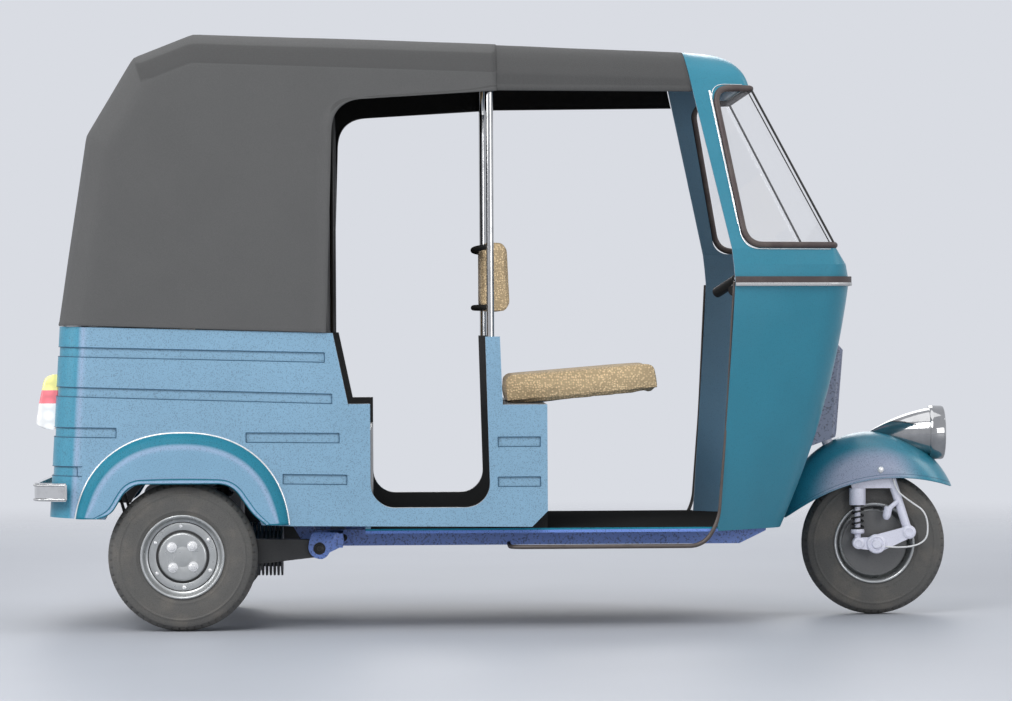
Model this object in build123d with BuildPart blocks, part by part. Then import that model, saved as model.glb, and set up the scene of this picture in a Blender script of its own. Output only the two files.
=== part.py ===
from build123d import *

import os
from math import cos, radians, sin, sqrt, tan

# Three-wheeled auto rickshaw, in millimetres.
# +X points forward, +Y to the vehicle's left, +Z up.
# The origin is on the floor, under the middle of the overall length and width.

# Overall sizes
overall_length = 2650
overall_width = 1300
rear_overhang = 417
front_overhang = 233
wheelbase = overall_length - rear_overhang - front_overhang
nose_x = overall_length / 2
tail_x = -overall_length / 2
rear_axle_x = tail_x + rear_overhang
front_axle_x = rear_axle_x + wheelbase
half_width = overall_width / 2
far = 2 * overall_width


def bay_x(share):
    """Place between the axles, as a share of the wheelbase from the rear one."""
    return rear_axle_x + share * wheelbase


# How boxes and cylinders sit on their place
standing = (Align.CENTER, Align.CENTER, Align.MIN)
hanging = (Align.CENTER, Align.CENTER, Align.MAX)

# Fits and clearances
seat_gap = 0.3
shaft_gap = 0.3
lid_gap = 5.5
swing_gap = 12
roof_gap = 2

# Wheels and tyres
tyre_radius = 210
tyre_half_width = 51
bead_radius = 112
bead_half_width = 46
flange_radius = 118
barrel_radius = 106
disc_y = 14
disc_thickness = 8
cap_radius = 66
cap_height = 12
drum_radius = 88
drum_depth = 48
shaft_radius = 15
rear_wheel_y = half_width - 85

# Body tub: two sides and a back with round corners, leaning forward with height
body_half_width = half_width - 30
panel_thickness = 35
tub_corner_radius = 90
tub_rear_x = tail_x + 42
tub_rear_z = 323
tub_lean = 3.2
tub_base_z = 250
tub_height = 700
tub_front_x = bay_x(0.5125)
back_half_width = half_width - 225
sill_rear_rise = 28
sill_mid_x = rear_axle_x + 300
sill_mid_z = 295
sill_front_z = 289
sill_notch = 44
belt_rear_z = 858
belt_front_x = bay_x(0.212)
belt_front_z = 835
step_rear_x = bay_x(0.233)
step_front_x = bay_x(0.264)
step_z = 636
door_sill_z = 344
door_corner_radius = 68
post_rear_x = bay_x(0.426)
post_lean = 13
post_front_x = bay_x(0.4465)
post_foot_x = bay_x(0.45)
post_top_z = 823
seat_side_z = 632
arch_radius = 240
rib_height = 27
rib_depth = 4
rib_rear_x = tail_x - 75
# Pressed ribs: rear end x, front end x, middle height at each end
rib_rows = [
    (rib_rear_x, bay_x(0.2005), 791, 767),
    (rib_rear_x, bay_x(0.2105), 680, 651),
    (rib_rear_x, rear_axle_x - 183, 564, 559),
    (rear_axle_x + 180, bay_x(0.2205), 544, 541),
    (rib_rear_x, rear_axle_x - 292, 454, 452),
    (rear_axle_x + 283, bay_x(0.231), 427, 424),
    (bay_x(0.443), bay_x(0.5025), 528, 528),
    (bay_x(0.443), bay_x(0.5025), 416, 416),
]

# Engine lid in the back of the tub
lid_half_width = half_width - 335
lid_low_z = 445
lid_high_z = 735
lid_thickness = 20
slot_count = 5
slot_height = 12
slot_pitch = 34
slot_low = 30
slot_half_width = lid_half_width - 105
hinge_ys = (115 - lid_half_width, lid_half_width - 115)
hinge_z = 738
hinge_out = 10
hinge_pin_radius = 4
hinge_radius = 8
hinge_half_length = 24
hinge_lug = 6
hinge_side_gap = 1
plate_hole_radius = 3.5
plate_hole_y = 120
plate_hole_z = 830

# Rear fenders
fender_radius = 303
fender_z = 256
fender_shoulder = 22
fender_open_z = 420
fender_open_half_top = 118
fender_open_half_foot = 208
fender_open_radius = 60

# Floor, chassis and seat bases
floor_top_z = 284
floor_thickness = 13
floor_bottom_z = floor_top_z - floor_thickness
rail_height = 46
rail_width = 44
rail_y = half_width - 350
rail_front_x = front_axle_x - 340
rail_taper = 76
rail_tip = 9
kick_front_x = rear_axle_x + 353
kick_rear_x = rear_axle_x + 188
kick_slant = 15
rail_rear_x = rear_axle_x - 324
deck_z = 560
deck_thickness = 15
riser_thickness = 15
back_board_z = 1130
back_board_lean = 12
back_board_x = rear_axle_x - 22
member_length = 40
pan_thickness = 14

# Rear suspension
arm_pivot_x = rear_axle_x + 382
arm_pivot_z = 226
arm_y = half_width - 190
arm_half_width = 28
arm_half_height = 31
arm_box_length = 200
arm_hub_radius = 45
ear_radius = 34
ear_thickness = 12
ear_gap = 1
pin_radius = 12
shock_x = rear_axle_x + 108
spring_radius = 32
spring_wire = 10
spring_turns = 9
spring_seat = 24

# Engine
engine_rear_x = rear_axle_x - 132
engine_front_x = rear_axle_x + 148
engine_half_width = 150
engine_low_z = 140
engine_high_z = 400
engine_corner = 30
engine_lug_y = 80
axle_tube_radius = 62
axle_tube_run = 40
cylinder_front_x = rear_axle_x + 272
cylinder_z = 202
fin_radius = 78
barrel_core = 52
fin_count = 11
muffler_x = rear_axle_x - 222
muffler_z = 262
muffler_radius = 48
muffler_half_length = 210
muffler_strap_x = rear_axle_x - 242
muffler_strap_y = 120
exhaust_radius = 16
exhaust_y = 70

# Hood
hood_half_width = half_width - 28
hood_lean = 0.6
hood_front_half_width = half_width - 123
hood_thickness = 7
hood_foot = (rear_axle_x - 346, 859)
hood_knee = (rear_axle_x - 275, 1392)
hood_shoulder = (rear_axle_x - 146, 1614)
hood_top = (rear_axle_x + 24, 1684)
roof_front_z = 1628
hood_bevel = 78
hood_split_x = bay_x(0.4335)
door_head_z = roof_front_z - 116
door_head_rear_x = bay_x(0.221)
door_head_rear_z = roof_front_z - 141
door_head_radius = 85
bow_radius = 9
bow_y = half_width - 56
bow_corner = 130
bow_xs = (bay_x(0.204), bay_x(0.024))
post_radius = 10.5
post_y = half_width - 55
rail_radius = 8
rail_bow = 38
rail_zs = (906, 1076)
tab_y = 150
tab_size = (14, 30, 12)

# Seats
seat_half_width = 250
cushion_rear = (bay_x(0.459), seat_side_z)
cushion_front = (bay_x(0.6755), 671)
cushion_front_top = (bay_x(0.66), 746)
cushion_rear_top = (bay_x(0.4545), 713)
pan_inset = 30
pan_front_inset = 40
driver_back_half_width = 230
driver_back_x = bay_x(0.424)
driver_back_foot = (bay_x(0.4645), 890)
driver_back_head = (bay_x(0.46), 1098)
bench_half_width = half_width - 90
bench_front_x = bay_x(0.226)
bench_rear_x = bay_x(0.029)
bench_top_z = 634
bench_back_thickness = 80
cushion_radius = 24

# Front cab, as plan sections: height, rear edge x, half width there, front x, half width of the front,
# corner radius
cab_wall = 14
trim_z = 975
cab_foot = (floor_bottom_z, front_axle_x - 495, half_width - 90, front_axle_x - 297, half_width - 310, 120)
cab_knee = (600, front_axle_x - 470, half_width - 35, front_axle_x - 179, half_width - 240, 140)
cab_belt = (trim_z, front_axle_x - 446, half_width - 10, front_axle_x - 107, half_width - 163, 120)
cab_nose = (1022, front_axle_x - 450, half_width - 11, front_axle_x - 118, half_width - 161, 72)
cab_glass = (1066, front_axle_x - 455, half_width - 13, front_axle_x - 147, half_width - 160, 22)
cab_header = (
    roof_front_z - 92, front_axle_x - 561, half_width - 129, front_axle_x - 393, half_width - 207, 22
)
cab_brow = (
    roof_front_z - 43, front_axle_x - 572, half_width - 147, front_axle_x - 420, half_width - 225, 40
)
cab_crown = (
    roof_front_z - 12, front_axle_x - 579, half_width - 180, front_axle_x - 467, half_width - 265, 60
)
cab_peak = (roof_front_z, front_axle_x - 581, half_width - 230, front_axle_x - 532, half_width - 310, 60)
window_foot_z = 1068
window_head_z = roof_front_z - 96
window_rear_foot_x = front_axle_x - 420
window_rear_head_x = front_axle_x - 507
window_corner = 48
gasket_width = 20
gasket_proud = 5
glass_inset = 4
glass_thickness = 5
bar_radius = 8
bar_back = 12
bar_in = 7
trim_height = 26
trim_depth = 8

# Steering
steer_rake = 20
steer_x = front_axle_x - 131
steer_z = 502
stem_radius = 16
head_radius = 32
head_low = 232
head_high = 330
stem_top = 500
neck_radius = 22
neck_foot_x = front_axle_x - 402
neck_plate = 90
neck_plate_thickness = 10
cover_half_width = 45
cover_wall = 4
cover_edge_radius = 14
# Side view of the stem's cover, ahead of the front axle and above the floor
cover_rows = [(-88, 776), (-108, 540), (-132, 440), (-242, 440), (-192, 815), (-126, 815)]
bar_tube_radius = 11
bar_bend_radius = 40
bar_clamp = 14
grip_radius = 16
grip_length = 110
grip_over = 8
bar_end = (front_axle_x - 428, 335, 952)
bar_bend = (front_axle_x - 344, 190, 1012)

# Front wheel and what holds it
mudguard_radius = 259
mudguard_z = 277
mudguard_half_width = 112
mudguard_wall = 4
mudguard_mid_z = 401
mudguard_rear_z = 282
mudguard_front_z = 374
mudguard_x = nose_x - sqrt(mudguard_radius**2 - (mudguard_front_z - mudguard_z)**2)
fork_y = -80
fork_half = 11
stem_foot = 64
crown_size = 64
crown_height = 34
crown_x = front_axle_x - 110
crown_z = 452
arm_x = front_axle_x - 68
arm_z = 444
arm_length = 48
arm_height = 22
arm_reach = 36
# Side plate of the fork, ahead of the front axle and above the floor
plate_rows = [(-92, 436), (-82, 462), (18, 462), (60, 430), (60, 372), (-68, 372)]
plate_low_z = 372
strut_radius = 13
strut_top_x = front_axle_x + 46
strut_top_z = 405
link_half = 7
link_gap = 4
link_pivot_x = front_axle_x + 96
link_pivot_z = 244
link_pivot_radius = 17
link_eye_x = front_axle_x - 52
link_eye_z = 212
link_eye_radius = 16
link_hub_radius = 26
pivot_boss_radius = 20
eye_boss_radius = 14
axle_collar_radius = 24
axle_inset = 8
housing_radius = 24
housing_low_z = 323
coil_low_z = 250
coil_radius = 19
coil_wire = 6
coil_turns = 5
rod_radius = 9
backplate_radius = 94
backplate_thickness = 6
cable_radius = 3.5
cable_bend = 26
# Brake cable: ahead of the front axle, out from its seat (on the strut, then on the link), height
cable_rows = [(46, 0, 425), (58, 0, 365), (94, 4, 330), (148, 4, 292), (138, 2, 192), (8, 0, 204)]
lamp_radius = 74
lamp_z = 532
lamp_rear_x = front_axle_x - 14
lamp_mid_x = front_axle_x + 93
lamp_mid_share = 0.72
lamp_face_x = front_axle_x + 176
lamp_lip = 8
lamp_lip_length = 12
lamp_lip_height = 11
lens_bulge = 34

# Bumper and tail lamps
bumper_low_z = 368
bumper_high_z = 419
bumper_thickness = 14
bumper_half_width = half_width - 9
bumper_corner = 94
bumper_end_x = tail_x + 95
bracket_y = half_width - 400
bracket_width = 40
bracket_height = 28
lamp_y = half_width - 170
lamp_half_width = 42
lamp_depth_x = tail_x + 4
lens_radius_edge = 12
lens_rows = {"tail_lens_white": (567, 641), "tail_lens_red": (641, 678), "tail_lens_amber": (678, 723)}

# Tubes down the cowl's rear edges and along the foot of the doorways
edge_radius = 6
edge_bend = 30
rod_out = 33
rod_front_in = 20
rod_rear_x = post_foot_x + 20

os.makedirs("parts", exist_ok=True)

lean_shift = tan(radians(tub_lean))
steer_up = Vector(-sin(radians(steer_rake)), 0, cos(radians(steer_rake)))
steer_fore = Vector(cos(radians(steer_rake)), 0, sin(radians(steer_rake)))
steer_foot = Vector(steer_x, 0, steer_z)


def steer_plane(height):
    """Plane across the steering axis, this far up it from the point over the mudguard."""
    return Plane(origin=steer_foot + steer_up * height, x_dir=steer_fore, z_dir=steer_up)


def line_z(x, low, high):
    """Height at x of the straight line through two side-view points."""
    return low[1] + (high[1] - low[1]) * (x - low[0]) / (high[0] - low[0])


def tub_prism(inset, front_x):
    """Leaning solid inside the tub's outer face moved inward by inset."""
    rear_x = tub_rear_x - (tub_rear_z - tub_base_z) * lean_shift + inset
    with BuildPart() as prism:
        with BuildSketch(Plane.XY.offset(tub_base_z)) as plan:
            with Locations((rear_x, 0)):
                Rectangle(front_x - rear_x, 2 * (body_half_width - inset), align=(Align.MIN, Align.CENTER))
            fillet(plan.vertices().group_by(Axis.X)[0], tub_corner_radius - inset)
        extrude(amount=tub_height / cos(radians(tub_lean)), dir=(lean_shift, 0, 1))
    return prism.part


def side_prism(points, reach=far):
    """Solid of a side-view outline, running across the whole width."""
    with BuildPart() as prism:
        with BuildSketch(Plane.XZ):
            with BuildLine():
                Polyline(*points, close=True)
            make_face()
        extrude(amount=reach, both=True)
    return prism.part


def tub_x(z):
    """Rear face of the tub at a height."""
    return tub_rear_x + (z - tub_rear_z) * lean_shift


# Tub shell, ribs and the two sides with their doorways
belt_rear = (hood_foot[0], belt_rear_z)
belt_front = (belt_front_x, belt_front_z)
belt_far_z = line_z(-far, belt_front, belt_rear)
with BuildPart() as rib_cutter:
    with BuildSketch(Plane.XZ):
        for rear_x, front_x, rear_z, front_z in rib_rows:
            with BuildLine():
                Polyline(
                    (rear_x, rear_z - rib_height / 2),
                    (front_x, front_z - rib_height / 2),
                    (front_x, front_z + rib_height / 2),
                    (rear_x, rear_z + rib_height / 2),
                    close=True,
                )
            make_face()
    extrude(amount=far, both=True)
    add(tub_prism(rib_depth, far), mode=Mode.SUBTRACT)

with BuildPart() as tub_shell:
    add(tub_prism(0, tub_front_x))
    add(tub_prism(panel_thickness, far), mode=Mode.SUBTRACT)
    add(rib_cutter.part, mode=Mode.SUBTRACT)

with BuildPart() as side_panels:
    add(tub_shell.part)
    with BuildSketch(Plane.XZ) as side_outline:
        with BuildLine():
            Polyline(
                (-far, tub_rear_z + sill_rear_rise),
                (tub_rear_x, tub_rear_z),
                (sill_mid_x, sill_mid_z),
                (tub_front_x - sill_notch, sill_front_z),
                (tub_front_x, sill_front_z + sill_notch),
                (tub_front_x, seat_side_z),
                (post_foot_x, seat_side_z),
                (post_front_x, post_top_z),
                (post_rear_x, post_top_z),
                (post_rear_x + post_lean, door_sill_z),
                (step_front_x, door_sill_z),
                (step_front_x, step_z),
                (step_rear_x, step_z),
                belt_front,
                (-far, belt_far_z),
                close=True,
            )
        make_face()
        sill_corners = side_outline.vertices().filter_by_position(Axis.Y, door_sill_z - 1, door_sill_z + 1)
        fillet(sill_corners, door_corner_radius)
    extrude(amount=far, both=True, mode=Mode.INTERSECT)
    Box(2 * far, 2 * back_half_width, far, mode=Mode.SUBTRACT)
    with Locations((rear_axle_x, 0, tyre_radius)):
        Cylinder(arch_radius, 2 * far, rotation=(90, 0, 0), mode=Mode.SUBTRACT)

# Back of the tub, with the lid's opening and two holes for a plate
lid_mid_z = (lid_low_z + lid_high_z) / 2
with BuildPart() as back_panel:
    add(tub_shell.part)
    back_foot = [(-far, tub_rear_z), (rear_axle_x, tub_rear_z), (rear_axle_x, 0), (belt_front_x, 0)]
    add(side_prism([*back_foot, belt_front, (-far, belt_far_z)]), mode=Mode.INTERSECT)
    with Locations((tub_rear_x, 0, 0)):
        Box(panel_thickness * 6, 2 * back_half_width, far, mode=Mode.INTERSECT)
    with Locations((tub_rear_x, 0, lid_mid_z)):
        Box(panel_thickness * 6, 2 * (lid_half_width + lid_gap), lid_high_z - lid_low_z + 2 * lid_gap,
            mode=Mode.SUBTRACT)
    with Locations((tub_rear_x, plate_hole_y, plate_hole_z), (tub_rear_x, -plate_hole_y, plate_hole_z)):
        Cylinder(plate_hole_radius, far, rotation=(0, 90, 0), mode=Mode.SUBTRACT)

    hinge_x = tub_x(hinge_z) - hinge_out
    for hinge_y in hinge_ys:
        with Locations((hinge_x, hinge_y, hinge_z)):
            pin_length = 2 * (hinge_half_length + hinge_side_gap + hinge_lug)
            Cylinder(hinge_pin_radius, pin_length, rotation=(90, 0, 0))
        for side in (-1, 1):
            lug_y = hinge_y + side * (hinge_half_length + hinge_side_gap + hinge_lug / 2)
            foot_z = hinge_z + 2 * hinge_radius + 2
            with BuildSketch(Plane.XZ.offset(-lug_y)):
                with Locations((hinge_x, hinge_z)):
                    Circle(hinge_radius - 1)
                with Locations((tub_x(foot_z) + hinge_lug / 2, foot_z)):
                    Rectangle(hinge_lug, 2 * hinge_out)
                make_hull()
            extrude(amount=hinge_lug / 2, both=True)

with BuildPart() as engine_lid:
    add(tub_prism(0, tub_front_x))
    add(tub_prism(lid_thickness, far), mode=Mode.SUBTRACT)
    add(rib_cutter.part, mode=Mode.SUBTRACT)
    with Locations((tub_rear_x, 0, lid_mid_z)):
        Box(panel_thickness * 6, 2 * lid_half_width, lid_high_z - lid_low_z, mode=Mode.INTERSECT)
    for row in range(slot_count):
        with Locations((tub_rear_x, 0, lid_low_z + slot_low + row * slot_pitch)):
            Box(panel_thickness * 6, 2 * slot_half_width, slot_height, mode=Mode.SUBTRACT)
    for hinge_y in hinge_ys:
        with Locations((hinge_x, hinge_y, hinge_z)):
            Cylinder(hinge_radius, 2 * hinge_half_length, rotation=(90, 0, 0))
        with Locations((hinge_x, hinge_y, hinge_z - hinge_pin_radius)):
            Box(hinge_out + hinge_lug, 2 * hinge_half_length, 2 * hinge_out,
                align=(Align.MIN, Align.CENTER, Align.MAX))
        with Locations((hinge_x, hinge_y, hinge_z)):
            Cylinder(hinge_pin_radius + shaft_gap, 4 * hinge_half_length, rotation=(90, 0, 0),
                     mode=Mode.SUBTRACT)

# Rear fenders: flared arches on the tub's sides
with BuildPart() as rear_fenders:
    with BuildSketch(Plane.XZ.offset(body_half_width)) as arch:
        with Locations((rear_axle_x, fender_z)):
            Circle(fender_radius)
        with BuildLine():
            Polyline(
                (rear_axle_x - fender_open_half_foot, 0),
                (rear_axle_x - fender_open_half_foot, sill_mid_z),
                (rear_axle_x - fender_open_half_top, fender_open_z),
                (rear_axle_x + fender_open_half_top, fender_open_z),
                (rear_axle_x + fender_open_half_foot, sill_mid_z),
                (rear_axle_x + fender_open_half_foot, 0),
                close=True,
            )
        make_face(mode=Mode.SUBTRACT)
        with BuildLine():
            Polyline(
                (-far, -far),
                (-far, tub_rear_z + sill_rear_rise),
                (tub_rear_x, tub_rear_z),
                (sill_mid_x, sill_mid_z),
                (far, sill_mid_z),
                (far, -far),
                close=True,
            )
        make_face(mode=Mode.SUBTRACT)
        open_top = arch.vertices().filter_by_position(Axis.Y, fender_open_z - 1, fender_open_z + 1)
        fillet(open_top, fender_open_radius)
    extrude(amount=half_width - body_half_width)
    crest = rear_fenders.faces().sort_by(Axis.Y)[0].edges().filter_by(GeomType.CIRCLE)
    fillet(crest.sort_by(Edge.radius)[-1], fender_shoulder)
    mirror(about=Plane.XZ)

# Chassis: two rails that kick up over the rear axle
rail_low_z = floor_bottom_z - rail_height
rail_high_z = deck_z - deck_thickness
with BuildPart() as chassis_rails:
    for side in (-1, 1):
        with BuildSketch(Plane.XZ.offset(-side * rail_y)):
            with BuildLine():
                Polyline(
                    (rail_front_x - rail_taper, rail_low_z),
                    (rail_front_x, floor_bottom_z - rail_tip),
                    (rail_front_x, floor_bottom_z),
                    (kick_front_x + kick_slant, floor_bottom_z),
                    (kick_rear_x + kick_slant, rail_high_z),
                    (rail_rear_x, rail_high_z),
                    (rail_rear_x, rail_high_z - rail_height),
                    (kick_rear_x - kick_slant, rail_high_z - rail_height),
                    (kick_front_x - kick_slant, rail_low_z),
                    close=True,
                )
            make_face()
        extrude(amount=rail_width / 2, both=True)

# Cross members between the rails, and the tube that carries the rear arms
member_half = rail_y - rail_width / 2
member_rows = [(rail_front_x - 92, rail_low_z), (bay_x(0.484), rail_low_z), (bay_x(0.304), rail_low_z)]
member_rows += [(shock_x, rail_high_z - rail_height), (muffler_strap_x, rail_high_z - rail_height)]
ear_ys = [arm_y + side * (arm_half_width + ear_gap + ear_thickness / 2) for side in (-1, 1)]
arm_tube_x = arm_pivot_x + rail_height
arm_tube_z = floor_bottom_z - rail_height / 2
with BuildPart() as cross_members:
    for member_x, member_z in member_rows:
        with Locations((member_x, 0, member_z + rail_height / 2)):
            Box(member_length, 2 * member_half, rail_height)
    with Locations((arm_tube_x, 0, arm_tube_z)):
        Box(member_length, 2 * member_half, rail_height)
with BuildPart() as arm_carriers:
    for ear_y in ear_ys:
        with BuildSketch(Plane.XZ.offset(ear_y)):
            with Locations((arm_pivot_x, arm_pivot_z), (arm_tube_x, arm_tube_z)):
                Circle(ear_radius / 1.5)
            make_hull()
        extrude(amount=ear_thickness / 2, both=True)
    carrier_reach = ear_ys[1] + ear_thickness / 2
    with Locations((arm_tube_x, -rail_y - rail_width / 2, arm_tube_z)):
        Box(member_length, carrier_reach - rail_y - rail_width / 2, rail_height - 6,
            align=(Align.CENTER, Align.MAX, Align.CENTER))
    with Locations((arm_pivot_x, -arm_y, arm_pivot_z)):
        Cylinder(pin_radius, ear_ys[1] - ear_ys[0] + ear_thickness, rotation=(90, 0, 0))
    mirror(about=Plane.XZ)

# Rear arms with their hubs, and the spring units that stand on them
with BuildPart() as trailing_arms:
    with BuildSketch(Plane.XZ.offset(arm_y)):
        with Locations((arm_pivot_x, arm_pivot_z)):
            Circle(arm_half_height - 7)
        with Locations((rear_axle_x, tyre_radius)):
            Circle(arm_hub_radius)
        with Locations(((arm_pivot_x + rear_axle_x) / 2 - 40, (arm_pivot_z + tyre_radius) / 2)):
            Rectangle(arm_box_length, 2 * arm_half_height)
        make_hull()
    extrude(amount=arm_half_width, both=True)
    with Locations((arm_pivot_x, -arm_y, arm_pivot_z)):
        Cylinder(pin_radius + shaft_gap, 4 * arm_half_width, rotation=(90, 0, 0), mode=Mode.SUBTRACT)
    with Locations((rear_axle_x, -arm_y, tyre_radius)):
        Cylinder(shaft_radius + shaft_gap, 4 * arm_half_width, rotation=(90, 0, 0), mode=Mode.SUBTRACT)
    mirror(about=Plane.XZ)


def spring_outline(x, low_z, high_z, radius, wire, turns):
    """Half section of a coil spring around a damper, as a zigzag of turns."""
    step = (high_z - low_z) / turns
    points = [(x, low_z)]
    for turn in range(turns):
        points.append((x + radius - wire, low_z + turn * step))
        points.append((x + radius, low_z + (turn + 0.35) * step))
        points.append((x + radius, low_z + (turn + 0.65) * step))
    points.append((x + radius - wire, high_z))
    points.append((x, high_z))
    return points


shock_foot_z = line_z(shock_x, (arm_pivot_x, arm_pivot_z), (rear_axle_x, tyre_radius)) + arm_half_height
with BuildPart() as rear_shocks:
    with BuildSketch(Plane.XZ.offset(arm_y)):
        low_z = shock_foot_z + spring_seat
        high_z = rail_high_z - spring_seat
        with BuildLine():
            coil = spring_outline(shock_x, low_z, high_z, spring_radius, spring_wire, spring_turns)
            Polyline(*coil, close=True)
        make_face()
    revolve(axis=Axis((shock_x, -arm_y, 0), (0, 0, 1)))
    with Locations((shock_x, -arm_y, rail_high_z)):
        Cylinder(spring_radius + 4, spring_seat, align=hanging)
    with Locations((shock_x, -arm_y, 0)):
        Cylinder(spring_radius - 6, shock_foot_z + 30, align=standing)
    add(trailing_arms.part, mode=Mode.SUBTRACT)
    with Locations((shock_x, -arm_y, (shock_foot_z - 20) / 2)):
        Box(6 * spring_radius, 6 * spring_radius, shock_foot_z - 20, mode=Mode.SUBTRACT)
    mirror(about=Plane.XZ)


def cab_outline(section, inset, rear_extra, height=None):
    """Plan outline of the cab at one section, moved inward by inset and run on behind its open rear."""
    z, rear_x, rear_w, front_x, front_w, corner = section
    slope = (front_w - rear_w) / (front_x - rear_x)
    drop = inset * sqrt(1 + slope**2)
    back_x = rear_x - rear_extra
    tip_x = front_x - inset
    back_w = rear_w + slope * (back_x - rear_x) - drop
    tip_w = rear_w + slope * (tip_x - rear_x) - drop
    with BuildSketch(Plane.XY.offset(z if height is None else height)) as outline:
        with BuildLine():
            Polyline((back_x, -back_w), (tip_x, -tip_w), (tip_x, tip_w), (back_x, back_w), close=True)
        make_face()
        fillet(outline.vertices().group_by(Axis.X)[-1], max(corner - inset, bar_radius))
    return outline.sketch.face()


def between(low, high, z):
    """Cab section at height z on the straight run between two sections."""
    share = (z - low[0]) / (high[0] - low[0])
    return tuple(a + share * (b - a) for a, b in zip(low, high))


def cowl_form(inset, rear_extra):
    """Lower cab as a solid, inset from the outer face."""
    with BuildPart() as form:
        loft([cab_outline(section, inset, rear_extra) for section in (cab_foot, cab_knee, cab_belt)])
    return form.part


def cab_form(inset, rear_extra):
    """Upper cab with its brow as a solid, inset from the outer face."""
    cap = cab_peak[0] - cab_header[0]
    shrink = (cap - inset) / cap
    with BuildPart() as form:
        for low, high in ((cab_belt, cab_nose), (cab_nose, cab_glass), (cab_glass, cab_header)):
            loft([cab_outline(low, inset, rear_extra), cab_outline(high, inset, rear_extra)], ruled=True)
        loft([
            cab_outline(section, inset, rear_extra, cab_header[0] + shrink * (section[0] - cab_header[0]))
            for section in (cab_header, cab_brow, cab_crown, cab_peak)
        ])
    return form.part


def glazing_form(inset):
    """Straight part of the upper cab around the panes, inset from the outer face."""
    low = between(cab_glass, cab_header, window_foot_z - 20)
    high = between(cab_glass, cab_header, window_head_z + 20)
    with BuildPart() as form:
        loft([cab_outline(low, inset, far / 8), cab_outline(high, inset, far / 8)], ruled=True)
    return form.part


# Floor pan: flat between the sides, and inside the cowl's foot at the front
side_inner = body_half_width - panel_thickness
with BuildPart() as floor_pan:
    with BuildSketch(Plane.XY.offset(floor_bottom_z)):
        with Locations((step_front_x - riser_thickness, 0)):
            Rectangle(cab_foot[1] - step_front_x + riser_thickness - seat_gap, 2 * side_inner,
                      align=(Align.MIN, Align.CENTER))
        add(cab_outline(cab_foot, cab_wall + seat_gap, 40, floor_bottom_z))
    extrude(amount=floor_thickness)

# Passenger seat base: riser, deck and the board behind the backrest
board_foot_x = back_board_x
board_head_x = back_board_x - (back_board_z - deck_z) * tan(radians(back_board_lean))
with BuildPart() as seat_base:
    with Locations((step_front_x, 0, floor_top_z)):
        Box(riser_thickness, 2 * side_inner, deck_z - floor_top_z, align=(Align.MAX, Align.CENTER, Align.MIN))
    with Locations((step_front_x, 0, deck_z)):
        Box(step_front_x - tub_rear_x, 2 * side_inner, deck_thickness,
            align=(Align.MAX, Align.CENTER, Align.MAX))
    add(tub_prism(panel_thickness + seat_gap / 2, far), mode=Mode.INTERSECT)
    with BuildSketch(Plane.XZ):
        with BuildLine():
            Polyline((board_foot_x, deck_z), (board_foot_x + pan_thickness, deck_z),
                     (board_head_x + pan_thickness, back_board_z), (board_head_x, back_board_z), close=True)
        make_face()
    extrude(amount=bench_half_width, both=True)

# Driver's seat box across the floor, with the pan that reaches forward under the cushion
box_front_x = tub_front_x
pan_half_width = seat_half_width - pan_inset
pan_rear_x = cushion_rear[0] + pan_inset
pan_front_x = cushion_front[0] - pan_front_inset
pan_points = [
    (pan_rear_x, seat_side_z),
    (box_front_x, seat_side_z),
    (pan_front_x, line_z(pan_front_x, cushion_rear, cushion_front)),
    (pan_front_x, line_z(pan_front_x, cushion_rear, cushion_front) + pan_thickness),
    (pan_rear_x, line_z(pan_rear_x, cushion_rear, cushion_front) + pan_thickness),
]
with BuildPart() as seat_box:
    with Locations((post_foot_x, 0, floor_top_z)):
        Box(box_front_x - post_foot_x, 2 * side_inner, seat_side_z - floor_top_z,
            align=(Align.MIN, Align.CENTER, Align.MIN))
    with Locations((post_foot_x + pan_thickness, 0, floor_top_z)):
        Box(box_front_x - post_foot_x - 2 * pan_thickness, 2 * (side_inner - pan_thickness),
            seat_side_z - floor_top_z - pan_thickness,
            align=(Align.MIN, Align.CENTER, Align.MIN), mode=Mode.SUBTRACT)
    with BuildSketch(Plane.XZ):
        with BuildLine():
            Polyline(*pan_points, close=True)
        make_face()
    extrude(amount=pan_half_width, both=True)

# Cushions
with BuildPart() as driver_seat:
    with BuildSketch(Plane.XZ) as cushion:
        with BuildLine():
            Polyline((cushion_rear[0], cushion_rear[1] + seat_gap), cushion_front, cushion_front_top,
                     cushion_rear_top, close=True)
        make_face()
        fillet(cushion.vertices().sort_by(Axis.Y)[2:], cushion_radius)
    extrude(amount=seat_half_width, both=True)
    with BuildSketch(Plane.XZ):
        with BuildLine():
            Polyline((pan_rear_x, 0), *[(x, z + seat_gap) for x, z in pan_points[3:][::-1]], (pan_front_x, 0),
                     close=True)
        make_face()
        offset(amount=seat_gap)
    extrude(amount=pan_half_width + seat_gap, both=True, mode=Mode.SUBTRACT)
    with Locations((box_front_x, 0, seat_side_z + seat_gap)):
        Box(far, far, far, align=(Align.MAX, Align.CENTER, Align.MAX), mode=Mode.SUBTRACT)
with BuildPart() as driver_backrest:
    with BuildSketch(Plane.XZ) as cushion:
        with BuildLine():
            Polyline((driver_back_x, driver_back_foot[1]), driver_back_foot, driver_back_head,
                     (driver_back_x, driver_back_head[1]), close=True)
        make_face()
        fillet(cushion.vertices(), cushion_radius - 4)
    extrude(amount=driver_back_half_width, both=True)
with BuildPart() as passenger_seat:
    with BuildSketch(Plane.XZ) as cushion:
        with Locations((bench_rear_x, deck_z + seat_gap)):
            Rectangle(bench_front_x - bench_rear_x, bench_top_z - deck_z - seat_gap,
                      align=(Align.MIN, Align.MIN))
        fillet(cushion.vertices(), cushion_radius - 2)
    extrude(amount=bench_half_width, both=True)
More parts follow.
